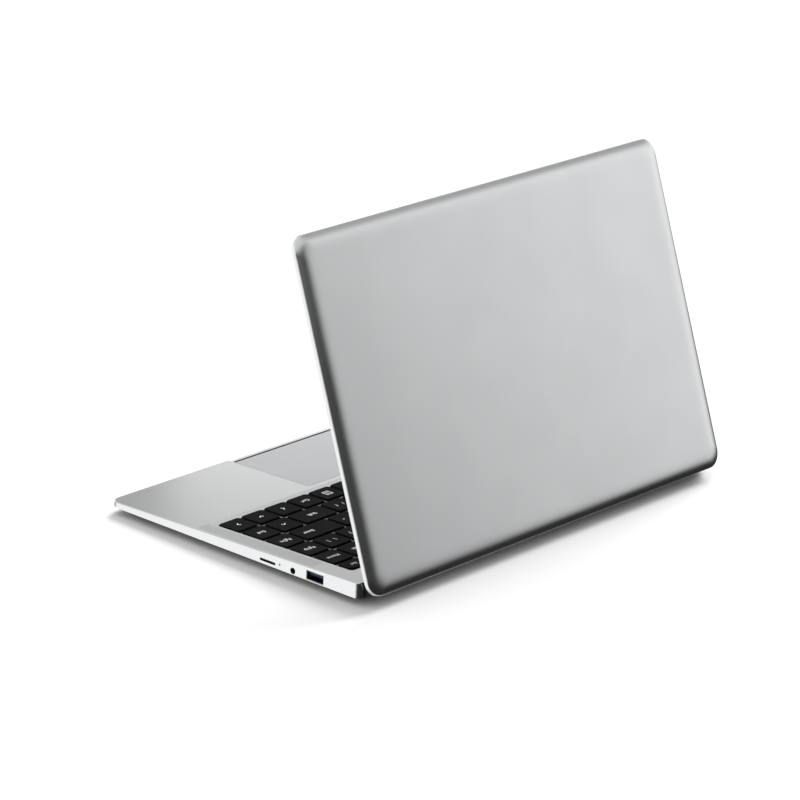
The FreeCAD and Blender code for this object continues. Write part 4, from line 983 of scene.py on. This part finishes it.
    def add_panel(self) -> None:
        """Stand a light panel beyond the front left corner, square to the view, for the deck to mirror."""
        az = math.radians(self.azimuth_deg)
        away = Vector((-math.sin(az), math.cos(az), 0))
        across = Vector((-away.y, away.x, 0))
        width, height = (side[1] - side[0] for side in (self.panel_across, self.panel_up))
        data = bpy.data.lights.new("panel", "AREA")
        data.shape = "RECTANGLE"
        data.size, data.size_y = width * MM, height * MM
        data.energy = self.panel_power
        panel = bpy.data.objects.new("panel", data)
        middle = (
            Vector(self.deck.place(np.array([0.0, self.panel_middle, 0.0])))
            + (away * self.panel_away + across * (sum(self.panel_across) / 2)) * MM
            + Vector((0, 0, sum(self.panel_up) / 2)) * MM
        )
        axes = Matrix((across, Vector((0, 0, 1)), away)).transposed().to_4x4()
        panel.matrix_world = Matrix.Translation(middle) @ axes
        panel.visible_camera = False
        bpy.context.scene.collection.objects.link(panel)

    def add_lamp(self) -> None:
        """Hang a broad soft lamp in the lid's plane, so that the lid throws hardly any shadow."""
        data = bpy.data.lights.new("lamp", "SUN")
        data.energy = self.lamp_strength
        data.angle = math.radians(self.lamp_spread_deg)
        lamp = bpy.data.objects.new("lamp", data)
        az, el = (math.radians(v) for v in self.lamp_deg)
        toward = Vector((math.cos(el) * math.cos(az), math.cos(el) * math.sin(az), math.sin(el)))
        lamp.rotation_euler = toward.to_track_quat("Z", "Y").to_euler()
        lamp.visible_glossy = False
        bpy.context.scene.collection.objects.link(lamp)

    def add_step(
        self, tree: bpy.types.NodeTree, value: bpy.types.NodeSocket, band: Band
    ) -> bpy.types.NodeSocket:
        """Add a smooth step from one level to another.

        Args:
            tree: the world's nodes.
            value: what the step follows.
            band: the values where the step starts and ends, and the levels below and above.

        Returns:
            The step's level.
        """
        sockets = dict(zip(("From Min", "From Max", "To Min", "To Max"), band))
        step = add_node(
            tree, "ShaderNodeMapRange", {"Value": value, **sockets}, interpolation_type="SMOOTHSTEP"
        )
        return step.outputs["Result"]

    def add_lobe(
        self,
        tree: bpy.types.NodeTree,
        ray: bpy.types.NodeSocket,
        level: bpy.types.NodeSocket,
        lobe: Lobe,
    ) -> bpy.types.NodeSocket:
        """Bring the dome's level to a value round one direction, smoothly between two angles from it.

        Args:
            tree: the world's nodes.
            ray: the direction looked in.
            level: the dome's level so far.
            lobe: its middle, the degrees inside which its value holds, those outside which the level stays,
                and its value.

        Returns:
            The new level.
        """
        direction, inner, outer, value = lobe
        axis = tuple(Vector(direction).normalized())
        near = add_node(tree, "ShaderNodeVectorMath", {0: ray, 1: axis}, operation="DOT_PRODUCT")
        edges = (math.cos(math.radians(outer)), math.cos(math.radians(inner)), 0.0, 1.0)
        share = self.add_step(tree, near.outputs["Value"], edges)
        mix = add_node(tree, "ShaderNodeMix", {0: share, 2: level, 3: value}, data_type="FLOAT")
        return mix.outputs[0]


def dress_nodes(materials: Materials) -> None:
    """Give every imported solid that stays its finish.

    Args:
        materials: the finishes.
    """
    for surface, names in NODE_SURFACES.items():
        for name in names:
            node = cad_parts[name]
            node.data.materials.clear()
            node.data.materials.append(materials[surface])


def main() -> None:
    """Build the laptop's looks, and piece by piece."""
    logging.basicConfig(level=logging.INFO)
    materials = {surface: finish.make(surface) for surface, finish in FINISHES.items()}
    dress_nodes(materials)
    deck = Deck()
    studio = Studio(deck)
    studio.build_camera()
    studio.build_floor()
    studio.build_light()
    deck.build_holes(materials)
    deck.build_recess(materials)
    deck.build_gap_shade(materials)
    Lid(deck).build(materials)
    Keyboard(deck).build(materials)


if __name__ == "__main__":
    main()
